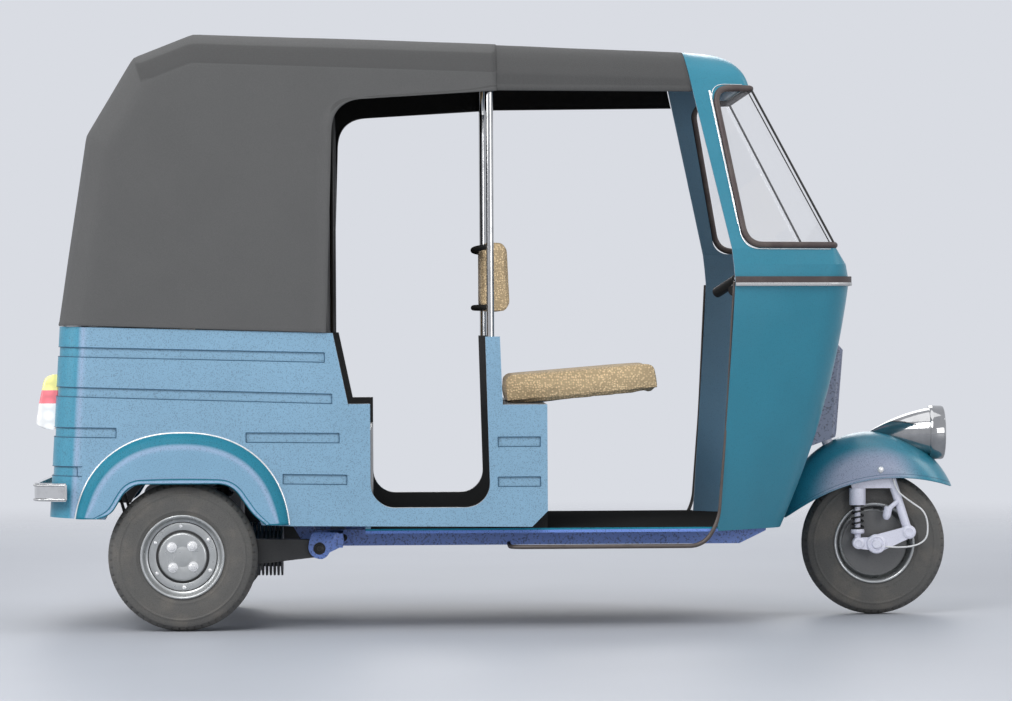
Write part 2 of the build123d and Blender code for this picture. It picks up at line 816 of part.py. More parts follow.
with BuildPart() as passenger_backrest:
    with BuildSketch(Plane.XZ) as cushion:
        with BuildLine():
            Polyline(
                (board_foot_x + pan_thickness + seat_gap, deck_z + seat_gap),
                (bench_rear_x - 4, deck_z + seat_gap),
                (board_head_x + pan_thickness + bench_back_thickness, back_board_z),
                (board_head_x + pan_thickness + seat_gap, back_board_z),
                close=True,
            )
        make_face()
        fillet(cushion.vertices().sort_by(Axis.Y)[2:], cushion_radius)
    extrude(amount=bench_half_width, both=True)

# Hood: one faceted shell, parted at the post into the rear hood and the driver's roof
roof_front_x = cab_peak[1]
head_x = cab_header[1] + (cab_header[0] - door_head_z) * (cab_glass[1] - cab_header[1]) / (
    cab_header[0] - cab_glass[0])


def hood_form(inset):
    """Hood and roof as a solid, inset from the outer face, run on below and ahead."""
    drop = hood_bevel * 1.5
    foot_x = hood_foot[0] - drop * (hood_knee[0] - hood_foot[0]) / (hood_knee[1] - hood_foot[1])
    ahead_x = roof_front_x + drop
    ahead_z = line_z(ahead_x, hood_top, (roof_front_x, roof_front_z))
    with BuildPart() as form:
        with BuildSketch(Plane.XZ):
            with BuildLine():
                Polyline((foot_x, hood_foot[1] - drop), hood_knee, hood_shoulder, hood_top,
                         (ahead_x, ahead_z), (ahead_x, hood_foot[1] - drop), close=True)
            make_face()
            if inset:
                offset(amount=-inset, kind=Kind.INTERSECTION)
        extrude(amount=far / 2, both=True)
        for side in (-1, 1):
            lean = tan(radians(hood_lean))
            taper = (hood_half_width - hood_front_half_width) / (head_x - hood_split_x)
            edge = Vector(hood_split_x, side * (hood_half_width - inset), hood_foot[1])
            split(bisect_by=Plane(origin=edge, z_dir=(0, side, lean)), keep=Keep.BOTTOM)
            split(bisect_by=Plane(origin=edge, z_dir=(taper, side, lean)), keep=Keep.BOTTOM)
        shoulders = [
            edge for edge in form.edges()
            if abs(edge.center().Y) > rail_y and edge.center().Z > (hood_foot[1] + hood_knee[1]) / 2 - drop
            and edge.center().X < roof_front_x and abs(edge.center().X - hood_split_x) > 1
        ]
        chamfer(shoulders, hood_bevel - inset * (2 - sqrt(2)))
    return form.part


with BuildPart() as hood_shell:
    add(hood_form(0))
    add(hood_form(hood_thickness), mode=Mode.SUBTRACT)
    with BuildSketch(Plane.XZ) as head:
        with BuildLine():
            Polyline((belt_front_x, 0), belt_front, (door_head_rear_x, door_head_rear_z),
                     (hood_split_x, door_head_z), (far, door_head_z), (far, 0), close=True)
        make_face()
        corner = head.vertices().filter_by_position(Axis.X, door_head_rear_x - 1, door_head_rear_x + 1)
        fillet(corner, door_head_radius)
    extrude(amount=far, both=True, mode=Mode.SUBTRACT)
    add(side_prism([(-far, 0), (-far, belt_far_z), belt_front, (belt_front_x, 0)]), mode=Mode.SUBTRACT)
    cab_rows = (cab_header, cab_brow, cab_crown, cab_peak)
    rear_line = [(section[1] - roof_gap, section[0]) for section in cab_rows]
    lap_line = [(head_x - roof_gap, 0), (head_x - roof_gap, door_head_z), *rear_line]
    add(side_prism([*lap_line, (rear_line[-1][0], far), (far, far), (far, 0)]), mode=Mode.SUBTRACT)
with BuildPart() as hood:
    add(hood_shell.part)
    split(bisect_by=Plane.YZ.offset(hood_split_x), keep=Keep.BOTTOM)
with BuildPart() as driver_roof:
    add(hood_shell.part)
    split(bisect_by=Plane.YZ.offset(hood_split_x), keep=Keep.TOP)


def roof_in_z(x):
    """Underside of the hood's roof at x."""
    return line_z(x, hood_top, (roof_front_x, roof_front_z)) - hood_thickness


# Tubes under the hood, and the bright posts with two grab rails between them
def hoop(x, half, foot_z, radius):
    """Tube that stands on both sides and crosses under the roof."""
    crest_z = roof_in_z(x) - radius - 3
    with BuildPart() as tube:
        with BuildLine() as path:
            FilletPolyline((x, -half, foot_z), (x, -half, crest_z), (x, half, crest_z), (x, half, foot_z),
                           radius=bow_corner)
        with BuildSketch(Plane(origin=(x, -half, foot_z), z_dir=(0, 0, 1))):
            Circle(radius)
        sweep(path=path.line)
    return tube.part


with BuildPart() as hood_bows:
    for bow_x in bow_xs:
        add(hoop(bow_x, bow_y, belt_front_z - 20, bow_radius))
    add(side_prism([(-far, 0), (-far, belt_far_z), belt_front, (belt_front_x, 0)]), mode=Mode.SUBTRACT)

post_x = hood_split_x
with BuildPart() as roof_posts:
    add(hoop(post_x, post_y, post_top_z, post_radius))
    for rail_z in rail_zs:
        with BuildLine() as path:
            ThreePointArc((post_x, -post_y, rail_z), (post_x - rail_bow, 0, rail_z), (post_x, post_y, rail_z))
        with BuildSketch(Plane(origin=path.line @ 0, z_dir=path.line % 0)):
            Circle(rail_radius)
        sweep(path=path.line)
        with Locations((driver_back_x - seat_gap, tab_y, rail_z), (driver_back_x - seat_gap, -tab_y, rail_z)):
            Box(*tab_size, align=(Align.MAX, Align.CENTER, Align.CENTER))

# Front cowl below the trim, cab top with one window opening above it
with BuildPart() as front_cowl:
    add(cowl_form(0, 0))
    add(cowl_form(cab_wall, 80), mode=Mode.SUBTRACT)
    with Locations(steer_plane(0)):
        Cylinder(stem_radius + swing_gap, far / 4, align=standing, mode=Mode.SUBTRACT)


def window_prism(inset):
    """Side view of the window opening, run across the whole width, inset from its edge."""
    with BuildPart() as prism:
        with BuildSketch(Plane.XZ) as opening:
            with BuildLine():
                Polyline((window_rear_foot_x, window_foot_z), (nose_x, window_foot_z),
                         (nose_x, window_head_z), (window_rear_head_x, window_head_z), close=True)
            make_face()
            corners = opening.vertices().group_by(Axis.X)
            fillet(corners[0] + corners[1], window_corner)
            if inset:
                offset(amount=-inset)
        extrude(amount=far, both=True)
    return prism.part


with BuildPart() as cab_top:
    add(cab_form(0, 0))
    add(cab_form(cab_wall, 80), mode=Mode.SUBTRACT)
    add(window_prism(0), mode=Mode.SUBTRACT)

pane_low = between(cab_glass, cab_header, window_foot_z - 10)
pane_high = between(cab_glass, cab_header, window_head_z + 10)


def corner_bars(radius):
    """Two bars up the corners of the windscreen."""
    with BuildPart() as bars:
        for side in (-1, 1):
            low = Vector(pane_low[3] - bar_back, side * (pane_low[4] - bar_in), pane_low[0])
            high = Vector(pane_high[3] - bar_back, side * (pane_high[4] - bar_in), pane_high[0])
            with Locations(Plane(origin=low, z_dir=high - low)):
                Cylinder(radius, (high - low).length, align=standing)
    return bars.part


with BuildPart() as windscreen_gasket:
    add(glazing_form(-gasket_proud))
    add(glazing_form(cab_wall + 2), mode=Mode.SUBTRACT)
    add(window_prism(0), mode=Mode.INTERSECT)
    add(window_prism(gasket_width), mode=Mode.SUBTRACT)
    add(corner_bars(bar_radius) & window_prism(0))
with BuildPart() as windscreen_glass:
    add(glazing_form(glass_inset))
    add(glazing_form(glass_inset + glass_thickness), mode=Mode.SUBTRACT)
    add(window_prism(gasket_width), mode=Mode.INTERSECT)
    add(corner_bars(bar_radius + seat_gap), mode=Mode.SUBTRACT)
with BuildPart() as cowl_trim:
    with BuildSketch(Plane.XY.offset(trim_z - trim_height / 2)):
        add(cab_outline(cab_belt, -trim_depth, 0, trim_z - trim_height / 2))
        add(cab_outline(cab_belt, cab_wall / 2, far / 8, trim_z - trim_height / 2), mode=Mode.SUBTRACT)
    extrude(amount=trim_height)
    add(front_cowl.part, mode=Mode.SUBTRACT)
    add(cab_top.part, mode=Mode.SUBTRACT)

# Cover over the steering stem on the nose, open below and behind
cover_points = [(front_axle_x + ahead, z) for ahead, z in cover_rows]
with BuildPart() as column_cover:
    with BuildSketch(Plane.XZ) as side:
        with BuildLine():
            Polyline(*cover_points, close=True)
        make_face()
    extrude(amount=cover_half_width, both=True)
    fillet(column_cover.edges().filter_by(Plane.XZ).group_by(Axis.X)[-1], cover_edge_radius)
    add(cowl_form(-seat_gap, 80), mode=Mode.SUBTRACT)
    inner_points = [(x - cover_wall, z - cover_wall) for x, z in cover_points]
    add(side_prism(inner_points, cover_half_width - cover_wall), mode=Mode.SUBTRACT)
    split(bisect_by=steer_plane(swing_gap), keep=Keep.TOP)

# Steering neck: a tube from the floor to the head tube round the stem
head_mid = steer_foot + steer_up * ((head_low + head_high) / 2)
with BuildPart() as steering_neck:
    neck_foot = Vector(neck_foot_x, 0, floor_top_z)
    with Locations(Plane(origin=neck_foot, z_dir=head_mid - neck_foot)):
        Cylinder(neck_radius, (head_mid - neck_foot).length, align=standing)
    with Locations(neck_foot):
        Box(neck_plate, neck_plate, neck_plate_thickness, align=standing)
    with Locations(neck_foot):
        Box(2 * neck_plate, 2 * neck_plate, neck_plate, align=hanging, mode=Mode.SUBTRACT)
    with Locations(steer_plane(head_low)):
        Cylinder(head_radius, head_high - head_low, align=standing)
    with Locations(steer_plane(0)):
        Cylinder(stem_radius + shaft_gap, far / 4, align=standing, mode=Mode.SUBTRACT)

# Engine with its finned barrel, and the muffler behind it
with BuildPart() as engine:
    with Locations(((engine_rear_x + engine_front_x) / 2, 0, (engine_low_z + engine_high_z) / 2)):
        Box(engine_front_x - engine_rear_x, 2 * engine_half_width, engine_high_z - engine_low_z)
    fillet(engine.edges().filter_by(Axis.Y), engine_corner)
    with Locations((rear_axle_x, 0, tyre_radius)):
        Cylinder(axle_tube_radius, 2 * (engine_half_width + axle_tube_run), rotation=(90, 0, 0))
    barrel_length = cylinder_front_x - engine_front_x
    with Locations((engine_front_x - 5, 0, cylinder_z)):
        Cylinder(barrel_core, barrel_length, rotation=(0, 90, 0), align=standing)
    fin_pitch = barrel_length / fin_count
    for fin in range(fin_count):
        with Locations((engine_front_x + fin * fin_pitch, 0, cylinder_z)):
            Cylinder(fin_radius, fin_pitch / 2, rotation=(0, 90, 0), align=standing)
    with Locations((shock_x, engine_lug_y, engine_high_z - 5), (shock_x, -engine_lug_y, engine_high_z - 5)):
        Box(30, 20, rail_high_z - rail_height - engine_high_z + 5, align=standing)
    for side in (-1, 1):
        with Locations((rear_axle_x, side * (engine_half_width + axle_tube_run), tyre_radius)):
            Cylinder(shaft_radius + 6, 1.5 * axle_tube_run, rotation=(90, 0, 0), mode=Mode.SUBTRACT)
with BuildPart() as muffler:
    with Locations((muffler_x, 0, muffler_z)):
        Cylinder(muffler_radius, 2 * muffler_half_length, rotation=(90, 0, 0))
    fillet(muffler.edges(), 14)
    with Locations((engine_rear_x, exhaust_y, muffler_z)):
        Cylinder(exhaust_radius, engine_rear_x - muffler_x, rotation=(0, 90, 0), align=hanging)
    strap_places = [(muffler_strap_x, side * muffler_strap_y, muffler_z) for side in (-1, 1)]
    with Locations(*strap_places):
        Box(8, 24, rail_high_z - rail_height - muffler_z, align=standing)


# Wheels and tyres, turned about their axles
def tyre(x, y):
    """Tyre on the wheel at x, y."""
    with BuildPart() as ring:
        with BuildSketch(Plane(origin=(x, y, tyre_radius), x_dir=(0, 1, 0), z_dir=(1, 0, 0))):
            with BuildLine():
                bulge_r = (bead_radius + tyre_radius) / 2 + 4
                shoulder_r = tyre_radius - 16
                shoulder_y = tyre_half_width - 6
                wall_r = flange_radius + 2
                Polyline((-bead_half_width, wall_r), (-bead_half_width, bead_radius),
                         (bead_half_width, bead_radius), (bead_half_width, wall_r))
                ThreePointArc((bead_half_width, wall_r), (tyre_half_width, bulge_r), (shoulder_y, shoulder_r))
                ThreePointArc((shoulder_y, shoulder_r), (0, tyre_radius), (-shoulder_y, shoulder_r))
                ThreePointArc((-shoulder_y, shoulder_r), (-tyre_half_width, bulge_r),
                              (-bead_half_width, wall_r))
            make_face()
        revolve(axis=Axis((x, y, tyre_radius), (0, 1, 0)))
    return ring.part


def wheel(x, y, outside, bore, shaft_end):
    """Pressed rim with disc, cap and drum; outside is the sign of the side that its cap faces."""
    rows = [
        (barrel_radius, bead_radius - seat_gap, -bead_half_width, bead_half_width),
        (barrel_radius, flange_radius, bead_half_width + seat_gap, bead_half_width + 5),
        (barrel_radius, flange_radius, -bead_half_width - 5, -bead_half_width - seat_gap),
        (barrel_radius, bead_radius - seat_gap, -bead_half_width - 1, bead_half_width + 1),
        (bore, barrel_radius + 2, disc_y, disc_y + disc_thickness),
        (bore, cap_radius, disc_y, disc_y + disc_thickness + cap_height),
        (bore, drum_radius, disc_y - drum_depth, disc_y),
    ]
    if shaft_end:
        rows.append((0, shaft_radius, shaft_end, disc_y))
    with BuildPart() as rim:
        with BuildSketch(Plane(origin=(x, y, tyre_radius), x_dir=(0, outside, 0), z_dir=(outside, 0, 0))):
            for low_r, high_r, low_y, high_y in rows:
                with Locations((low_y, low_r)):
                    Rectangle(high_y - low_y, high_r - low_r, align=(Align.MIN, Align.MIN))
        revolve(axis=Axis((x, y, tyre_radius), (0, 1, 0)))
    return rim.part


shaft_run = -(rear_wheel_y - engine_half_width - 24)
with BuildPart() as rear_tyre_right:
    add(tyre(rear_axle_x, -rear_wheel_y))
with BuildPart() as rear_tyre_left:
    add(tyre(rear_axle_x, rear_wheel_y))
with BuildPart() as rear_wheel_right:
    add(wheel(rear_axle_x, -rear_wheel_y, -1, 0, shaft_run))
with BuildPart() as rear_wheel_left:
    add(wheel(rear_axle_x, rear_wheel_y, 1, 0, shaft_run))
with BuildPart() as front_tyre:
    add(tyre(front_axle_x, 0))
with BuildPart() as front_wheel:
    add(wheel(front_axle_x, 0, 1, 0, 0))
    with Locations((front_axle_x, disc_y - drum_depth, tyre_radius)):
        Cylinder(shaft_radius + shaft_gap, 2 * (drum_depth - backplate_thickness), rotation=(90, 0, 0),
                 mode=Mode.SUBTRACT)


# Front mudguard: an arched shell turned about the axis across its middle
def mudguard_form(inset):
    """Arched solid of the mudguard, inset from its outer face."""
    side = mudguard_half_width - inset
    with BuildPart() as form:
        with BuildSketch(Plane(origin=(mudguard_x, 0, mudguard_z), x_dir=(0, 1, 0), z_dir=(1, 0, 0))):
            with Locations((0, mudguard_radius - mudguard_half_width)):
                Circle(side)
            Rectangle(2 * side, mudguard_radius - mudguard_half_width, align=(Align.CENTER, Align.MIN))
            with Locations((0, 0)):
                Rectangle(2 * mudguard_radius, mudguard_radius, align=(Align.CENTER, Align.MAX),
                          mode=Mode.SUBTRACT)
        revolve(axis=Axis((mudguard_x, 0, mudguard_z), (0, 1, 0)))
    return form.part


def mudguard_reach(z):
    """Half length of the mudguard's outline at a height."""
    return sqrt(mudguard_radius**2 - (z - mudguard_z)**2)


rear_tip = (mudguard_x - mudguard_reach(mudguard_rear_z), mudguard_rear_z)
front_tip = (mudguard_x + mudguard_reach(mudguard_front_z), mudguard_front_z)
with BuildPart() as front_mudguard:
    add(mudguard_form(0))
    add(mudguard_form(mudguard_wall), mode=Mode.SUBTRACT)
    with BuildSketch(Plane.XZ):
        with BuildLine():
            ThreePointArc(rear_tip, (mudguard_x + 15, mudguard_mid_z), front_tip)
            Polyline(front_tip, (front_tip[0], far), (rear_tip[0], far), rear_tip)
        make_face()
    extrude(amount=far, both=True, mode=Mode.INTERSECT)
    with Locations(steer_plane(-60)):
        Cylinder(stem_radius + seat_gap, 2 * stem_foot, align=standing, mode=Mode.SUBTRACT)

# Headlamp on the mudguard's crown
with BuildPart() as headlamp_shell:
    with BuildSketch(Plane.XZ):
        with BuildLine():
            lamp_rim = (lamp_face_x, lamp_z + lamp_radius)
            lamp_mid = (lamp_mid_x, lamp_z + lamp_mid_share * lamp_radius)
            Polyline((lamp_rear_x, lamp_z), (lamp_face_x, lamp_z), lamp_rim)
            ThreePointArc(lamp_rim, lamp_mid, (lamp_rear_x, lamp_z))
        make_face()
        with Locations((lamp_face_x, lamp_z + lamp_radius - lamp_lip)):
            Rectangle(lamp_lip_length, lamp_lip_height, align=(Align.CENTER, Align.MIN))
    revolve(axis=Axis((0, 0, lamp_z), (1, 0, 0)))
    add(mudguard_form(-seat_gap), mode=Mode.SUBTRACT)
    headlamp_shell.part = Part(headlamp_shell.solids().sort_by(Axis.X)[-1].wrapped)
lens_radius = lamp_radius - lamp_lip - seat_gap
lens_ball = (lens_radius**2 + lens_bulge**2) / (2 * lens_bulge)
with BuildPart() as headlamp_lens:
    with Locations((lamp_face_x + lens_bulge - lens_ball, 0, lamp_z)):
        Sphere(lens_ball, rotation=(0, 90, 0))
    with Locations((lamp_face_x + seat_gap, 0, lamp_z)):
        Box(far, far, far, align=(Align.MAX, Align.CENTER, Align.CENTER), mode=Mode.SUBTRACT)

# Fork: stem, crown under the mudguard, side plate and the strut down to the link's pivot
fork_plane = Plane.XZ.offset(-fork_y)
link_y = fork_y - fork_half - link_half - link_gap
boss_length = fork_y + fork_half - link_y - link_half
with BuildPart() as fork:
    with Locations(steer_plane(-stem_foot)):
        Cylinder(stem_radius, stem_top + stem_foot, align=standing)
    with Locations((crown_x, 0, crown_z)):
        Box(crown_size, crown_size, crown_height)
    with Locations((arm_x, arm_reach, arm_z)):
        Box(arm_length, arm_reach - fork_y + fork_half, arm_height,
            align=(Align.CENTER, Align.MAX, Align.CENTER))
    with BuildSketch(fork_plane):
        with BuildLine():
            Polyline(*[(front_axle_x + ahead, z) for ahead, z in plate_rows], close=True)
        make_face()
    extrude(amount=fork_half, both=True)
    strut_top = Vector(strut_top_x, fork_y, strut_top_z)
    strut_foot = Vector(link_pivot_x, fork_y, link_pivot_z)
    with Locations(Plane(origin=strut_foot, z_dir=strut_top - strut_foot)):
        Cylinder(strut_radius, (strut_top - strut_foot).length, align=standing)
    with Locations((link_pivot_x, link_y + link_half, link_pivot_z)):
        Cylinder(pivot_boss_radius, boss_length, rotation=(-90, 0, 0), align=standing)

# Trailing link with the front axle and the drum's back plate
with BuildPart() as front_link:
    with BuildSketch(Plane.XZ.offset(-link_y)):
        with Locations((link_pivot_x, link_pivot_z)):
            Circle(link_pivot_radius)
        with Locations((front_axle_x, tyre_radius)):
            Circle(link_hub_radius)
        make_hull()
    extrude(amount=link_half, both=True)
    with BuildSketch(Plane.XZ.offset(-link_y)):
        with Locations((link_eye_x, link_eye_z)):
            Circle(link_eye_radius)
        with Locations((front_axle_x, tyre_radius)):
            Circle(pivot_boss_radius)
        make_hull()
    extrude(amount=link_half, both=True)
    axle_start = link_y - link_half
    plate_y = disc_y - drum_depth - backplate_thickness
    axle_end = disc_y - axle_inset
    with Locations((front_axle_x, axle_start, tyre_radius)):
        Cylinder(shaft_radius, axle_end - axle_start, rotation=(-90, 0, 0), align=standing)
    with Locations((front_axle_x, link_y, tyre_radius)):
        Cylinder(axle_collar_radius, plate_y - link_y, rotation=(-90, 0, 0), align=standing)
    with Locations((front_axle_x, plate_y, tyre_radius)):
        Cylinder(backplate_radius, backplate_thickness, rotation=(90, 0, 0), align=standing)

# Front spring unit: housing under the plate, coil, and the eye on the link
with BuildPart() as front_shock:
    with Locations((link_eye_x, fork_y, housing_low_z)):
        Cylinder(housing_radius, plate_low_z - housing_low_z, align=standing)
    with BuildSketch(fork_plane):
        with BuildLine():
            coil = spring_outline(link_eye_x, coil_low_z, housing_low_z, coil_radius, coil_wire, coil_turns)
            Polyline(*coil, close=True)
        make_face()
    revolve(axis=Axis((link_eye_x, fork_y, 0), (0, 0, 1)))
    with Locations((link_eye_x, fork_y, link_eye_z)):
        Cylinder(rod_radius, coil_low_z - link_eye_z + 2, align=standing)
    with Locations((link_eye_x, link_y + link_half, link_eye_z)):
        Cylinder(eye_boss_radius, boss_length, rotation=(-90, 0, 0), align=standing)

# Front brake cable, from the fork's plate round to the drum's back plate
with BuildPart() as brake_cable:
    with BuildLine() as path:
        cable_in = fork_y - strut_radius - cable_radius - seat_gap
        cable_out = link_y - link_half - cable_radius
        cable_seats = [cable_in, cable_in, cable_out, cable_out, cable_out, cable_out]
        cable_points = [
            (front_axle_x + ahead, seat_y - out, z)
            for seat_y, (ahead, out, z) in zip(cable_seats, cable_rows)
        ]
        FilletPolyline(*cable_points, radius=cable_bend)
    with BuildSketch(Plane(origin=path.line @ 0, z_dir=path.line % 0)):
        Circle(cable_radius)
    sweep(path=path.line)

# Handlebar on top of the stem, and its grips
bar_mid = steer_foot + steer_up * (stem_top + bar_clamp)
right_end = Vector(bar_end[0], -bar_end[1], bar_end[2])
right_bend = Vector(bar_bend[0], -bar_bend[1], bar_bend[2])
bar_points = [right_end, right_bend, bar_mid, Vector(*bar_bend), Vector(*bar_end)]
with BuildPart() as handlebar:
    with BuildLine() as path:
        FilletPolyline(*bar_points, radius=bar_bend_radius)
    with BuildSketch(Plane(origin=path.line @ 0, z_dir=path.line % 0)):
        Circle(bar_tube_radius)
    sweep(path=path.line)
    with Locations(steer_plane(stem_top)):
        Cylinder(stem_radius + 4, 2 * bar_clamp, align=standing)
with BuildPart() as handlebar_grips:
    for side in (-1, 1):
        end = Vector(bar_end[0], side * bar_end[1], bar_end[2])
        run = (Vector(bar_bend[0], side * bar_bend[1], bar_bend[2]) - end).normalized()
        with Locations(Plane(origin=end - run * grip_over, z_dir=run)):
            Cylinder(grip_radius, grip_length, align=standing)
    add(handlebar.part, mode=Mode.SUBTRACT)

# Rear bumper round the tail, with two brackets to the back panel
with BuildPart() as bumper:
    with BuildSketch(Plane.XY.offset(bumper_low_z)) as plan:
        with Locations((tail_x, 0)):
            Rectangle(bumper_end_x - tail_x, 2 * bumper_half_width, align=(Align.MIN, Align.CENTER))
        fillet(plan.vertices().group_by(Axis.X)[0], bumper_corner)
        with BuildSketch(mode=Mode.SUBTRACT) as inner:
            with Locations((tail_x + bumper_thickness, 0)):
                Rectangle(bumper_end_x - tail_x, 2 * (bumper_half_width - bumper_thickness),
                          align=(Align.MIN, Align.CENTER))
            fillet(inner.vertices().group_by(Axis.X)[0], bumper_corner - bumper_thickness)
    extrude(amount=bumper_high_z - bumper_low_z)
    bracket_z = (bumper_low_z + bumper_high_z) / 2
    bracket_x = tail_x + bumper_thickness / 2
    with Locations((bracket_x, bracket_y, bracket_z), (bracket_x, -bracket_y, bracket_z)):
        Box(tub_x(bumper_high_z) - bracket_x, bracket_width, bracket_height,
            align=(Align.MIN, Align.CENTER, Align.CENTER))
    add(tub_prism(0, tub_front_x), mode=Mode.SUBTRACT)


# Tail lamps, three lenses one above the other on each side
def tail_lens(low_z, high_z):
    """One row of lenses, right and left."""
    with BuildPart() as lens:
        for side in (-1, 1):
            with Locations((lamp_depth_x, side * lamp_y, low_z)):
                Box(panel_thickness * 2, 2 * lamp_half_width, high_z - low_z,
                    align=(Align.MIN, Align.CENTER, Align.MIN))
        fillet(lens.edges().filter_by(Axis.Z).group_by(Axis.X)[0], lens_radius_edge)
        add(tub_prism(0, tub_front_x), mode=Mode.SUBTRACT)
    return lens.part


with BuildPart() as tail_lens_white:
    add(tail_lens(*lens_rows["tail_lens_white"]))
with BuildPart() as tail_lens_red:
    add(tail_lens(*lens_rows["tail_lens_red"]))
with BuildPart() as tail_lens_amber:
    add(tail_lens(*lens_rows["tail_lens_amber"]))

# Edge tubes: down the cowl's rear edges, back along the foot of the doorway and in to the rail
rod_y = cab_foot[2] + rod_out
rod_z = rail_low_z + edge_radius
with BuildPart() as edge_tubes:
    edge_gap = edge_radius + seat_gap
    with BuildLine() as path:
        FilletPolyline(
            (cab_belt[1] - edge_gap, -cab_belt[2] + cab_wall / 2, trim_z),
            (cab_knee[1] - edge_gap, -cab_knee[2] + cab_wall / 2, cab_knee[0]),
            (cab_foot[1] - edge_gap, -rod_y, floor_top_z + edge_radius),
            (cab_foot[1] - edge_gap - rod_front_in, -rod_y, rod_z),
            (rod_rear_x, -rod_y, rod_z),
            (rod_rear_x, -rail_y - rail_width / 2, rod_z),
            radius=edge_bend,
        )
    with BuildSketch(Plane(origin=path.line @ 0, z_dir=path.line % 0)):
        Circle(edge_radius)
    sweep(path=path.line)
    mirror(about=Plane.XZ)

pieces = {
    "chassis_rails": chassis_rails,
    "cross_members": cross_members,
    "arm_carriers": arm_carriers,
    "steering_neck": steering_neck,
    "floor_pan": floor_pan,
    "side_panels": side_panels,
    "back_panel": back_panel,
    "engine_lid": engine_lid,
    "rear_fenders": rear_fenders,
    "seat_base": seat_base,
    "seat_box": seat_box,
    "driver_seat": driver_seat,
    "driver_backrest": driver_backrest,
    "passenger_seat": passenger_seat,
    "passenger_backrest": passenger_backrest,
    "hood": hood,
    "driver_roof": driver_roof,
    "hood_bows": hood_bows,
    "roof_posts": roof_posts,
    "front_cowl": front_cowl,
    "cab_top": cab_top,
    "windscreen_gasket": windscreen_gasket,
    "windscreen_glass": windscreen_glass,
    "cowl_trim": cowl_trim,
    "column_cover": column_cover,
    "edge_tubes": edge_tubes,
    "bumper": bumper,
    "tail_lens_white": tail_lens_white,
    "tail_lens_red": tail_lens_red,
    "tail_lens_amber": tail_lens_amber,
    "trailing_arms": trailing_arms,
    "rear_shocks": rear_shocks,
    "engine": engine,
    "muffler": muffler,
    "rear_tyre_right": rear_tyre_right,
    "rear_tyre_left": rear_tyre_left,
    "rear_wheel_right": rear_wheel_right,
    "rear_wheel_left": rear_wheel_left,
    "fork": fork,
    "front_link": front_link,
    "front_shock": front_shock,
    "brake_cable": brake_cable,
    "front_mudguard": front_mudguard,
    "headlamp_shell": headlamp_shell,
    "headlamp_lens": headlamp_lens,
    "handlebar": handlebar,
    "handlebar_grips": handlebar_grips,
    "front_tyre": front_tyre,
    "front_wheel": front_wheel,
}
for node, piece in pieces.items():
    piece.part.label = node
    export_step(piece.part, f"parts/{node}.step")
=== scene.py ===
import math

import bmesh
import bpy
from bpy.props import FloatProperty, FloatVectorProperty, IntProperty, PointerProperty
from mathutils import Matrix, Vector, noise


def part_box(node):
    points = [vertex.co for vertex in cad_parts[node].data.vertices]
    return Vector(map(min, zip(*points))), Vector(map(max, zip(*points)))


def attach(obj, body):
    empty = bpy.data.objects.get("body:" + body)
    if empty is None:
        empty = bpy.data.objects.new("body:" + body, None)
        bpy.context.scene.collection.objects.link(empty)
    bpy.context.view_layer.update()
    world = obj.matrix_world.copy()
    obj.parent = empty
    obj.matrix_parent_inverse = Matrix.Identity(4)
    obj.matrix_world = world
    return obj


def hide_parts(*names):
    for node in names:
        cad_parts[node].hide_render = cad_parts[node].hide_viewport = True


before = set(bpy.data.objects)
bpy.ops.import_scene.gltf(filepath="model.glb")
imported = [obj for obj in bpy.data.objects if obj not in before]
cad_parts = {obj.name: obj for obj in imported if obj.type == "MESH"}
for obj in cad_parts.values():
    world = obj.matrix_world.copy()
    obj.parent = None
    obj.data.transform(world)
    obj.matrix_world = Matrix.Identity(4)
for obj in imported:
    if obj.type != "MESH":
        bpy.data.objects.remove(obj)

bl_info = {
    "name": "Auto rickshaw",
    "version": (1, 0, 0),
    "blender": (4, 5, 0),
    "location": "View3D > Sidebar > Rickshaw",
    "description": "Dresses the frame of an auto rickshaw with its finishes, soft goods and fittings",
    "category": "Object",
}

# Lengths are in metres, in the frame of the part: +X forward, +Y left, +Z up.
REAR_AXLE = Vector((-0.908, 0.0, 0.21))
FRONT_AXLE = Vector((1.092, 0.0, 0.21))
TYRE_RADIUS = 0.21
CROWN_HALF = 0.0415
REAR_TRACK = 0.565
SIDES = (-1, 1)


def chip(red, green, blue):
    """Linear colour of a paint chip given in steps of 0 to 255."""
    return tuple(((c / 255 + 0.055) / 1.055) ** 2.4 for c in (red, green, blue))


def grey(step):
    """Linear neutral colour."""
    return chip(step, step, step)


def length(label, text, default, low, high):
    """Length that a user may change."""
    return FloatProperty(name=label, description=text, default=default, min=low, max=high, unit="LENGTH")


def colour(label, text, default):
    """Colour that a user may change."""
    return FloatVectorProperty(name=label, description=text, default=default, size=3, min=0, max=1,
                               subtype="COLOR")


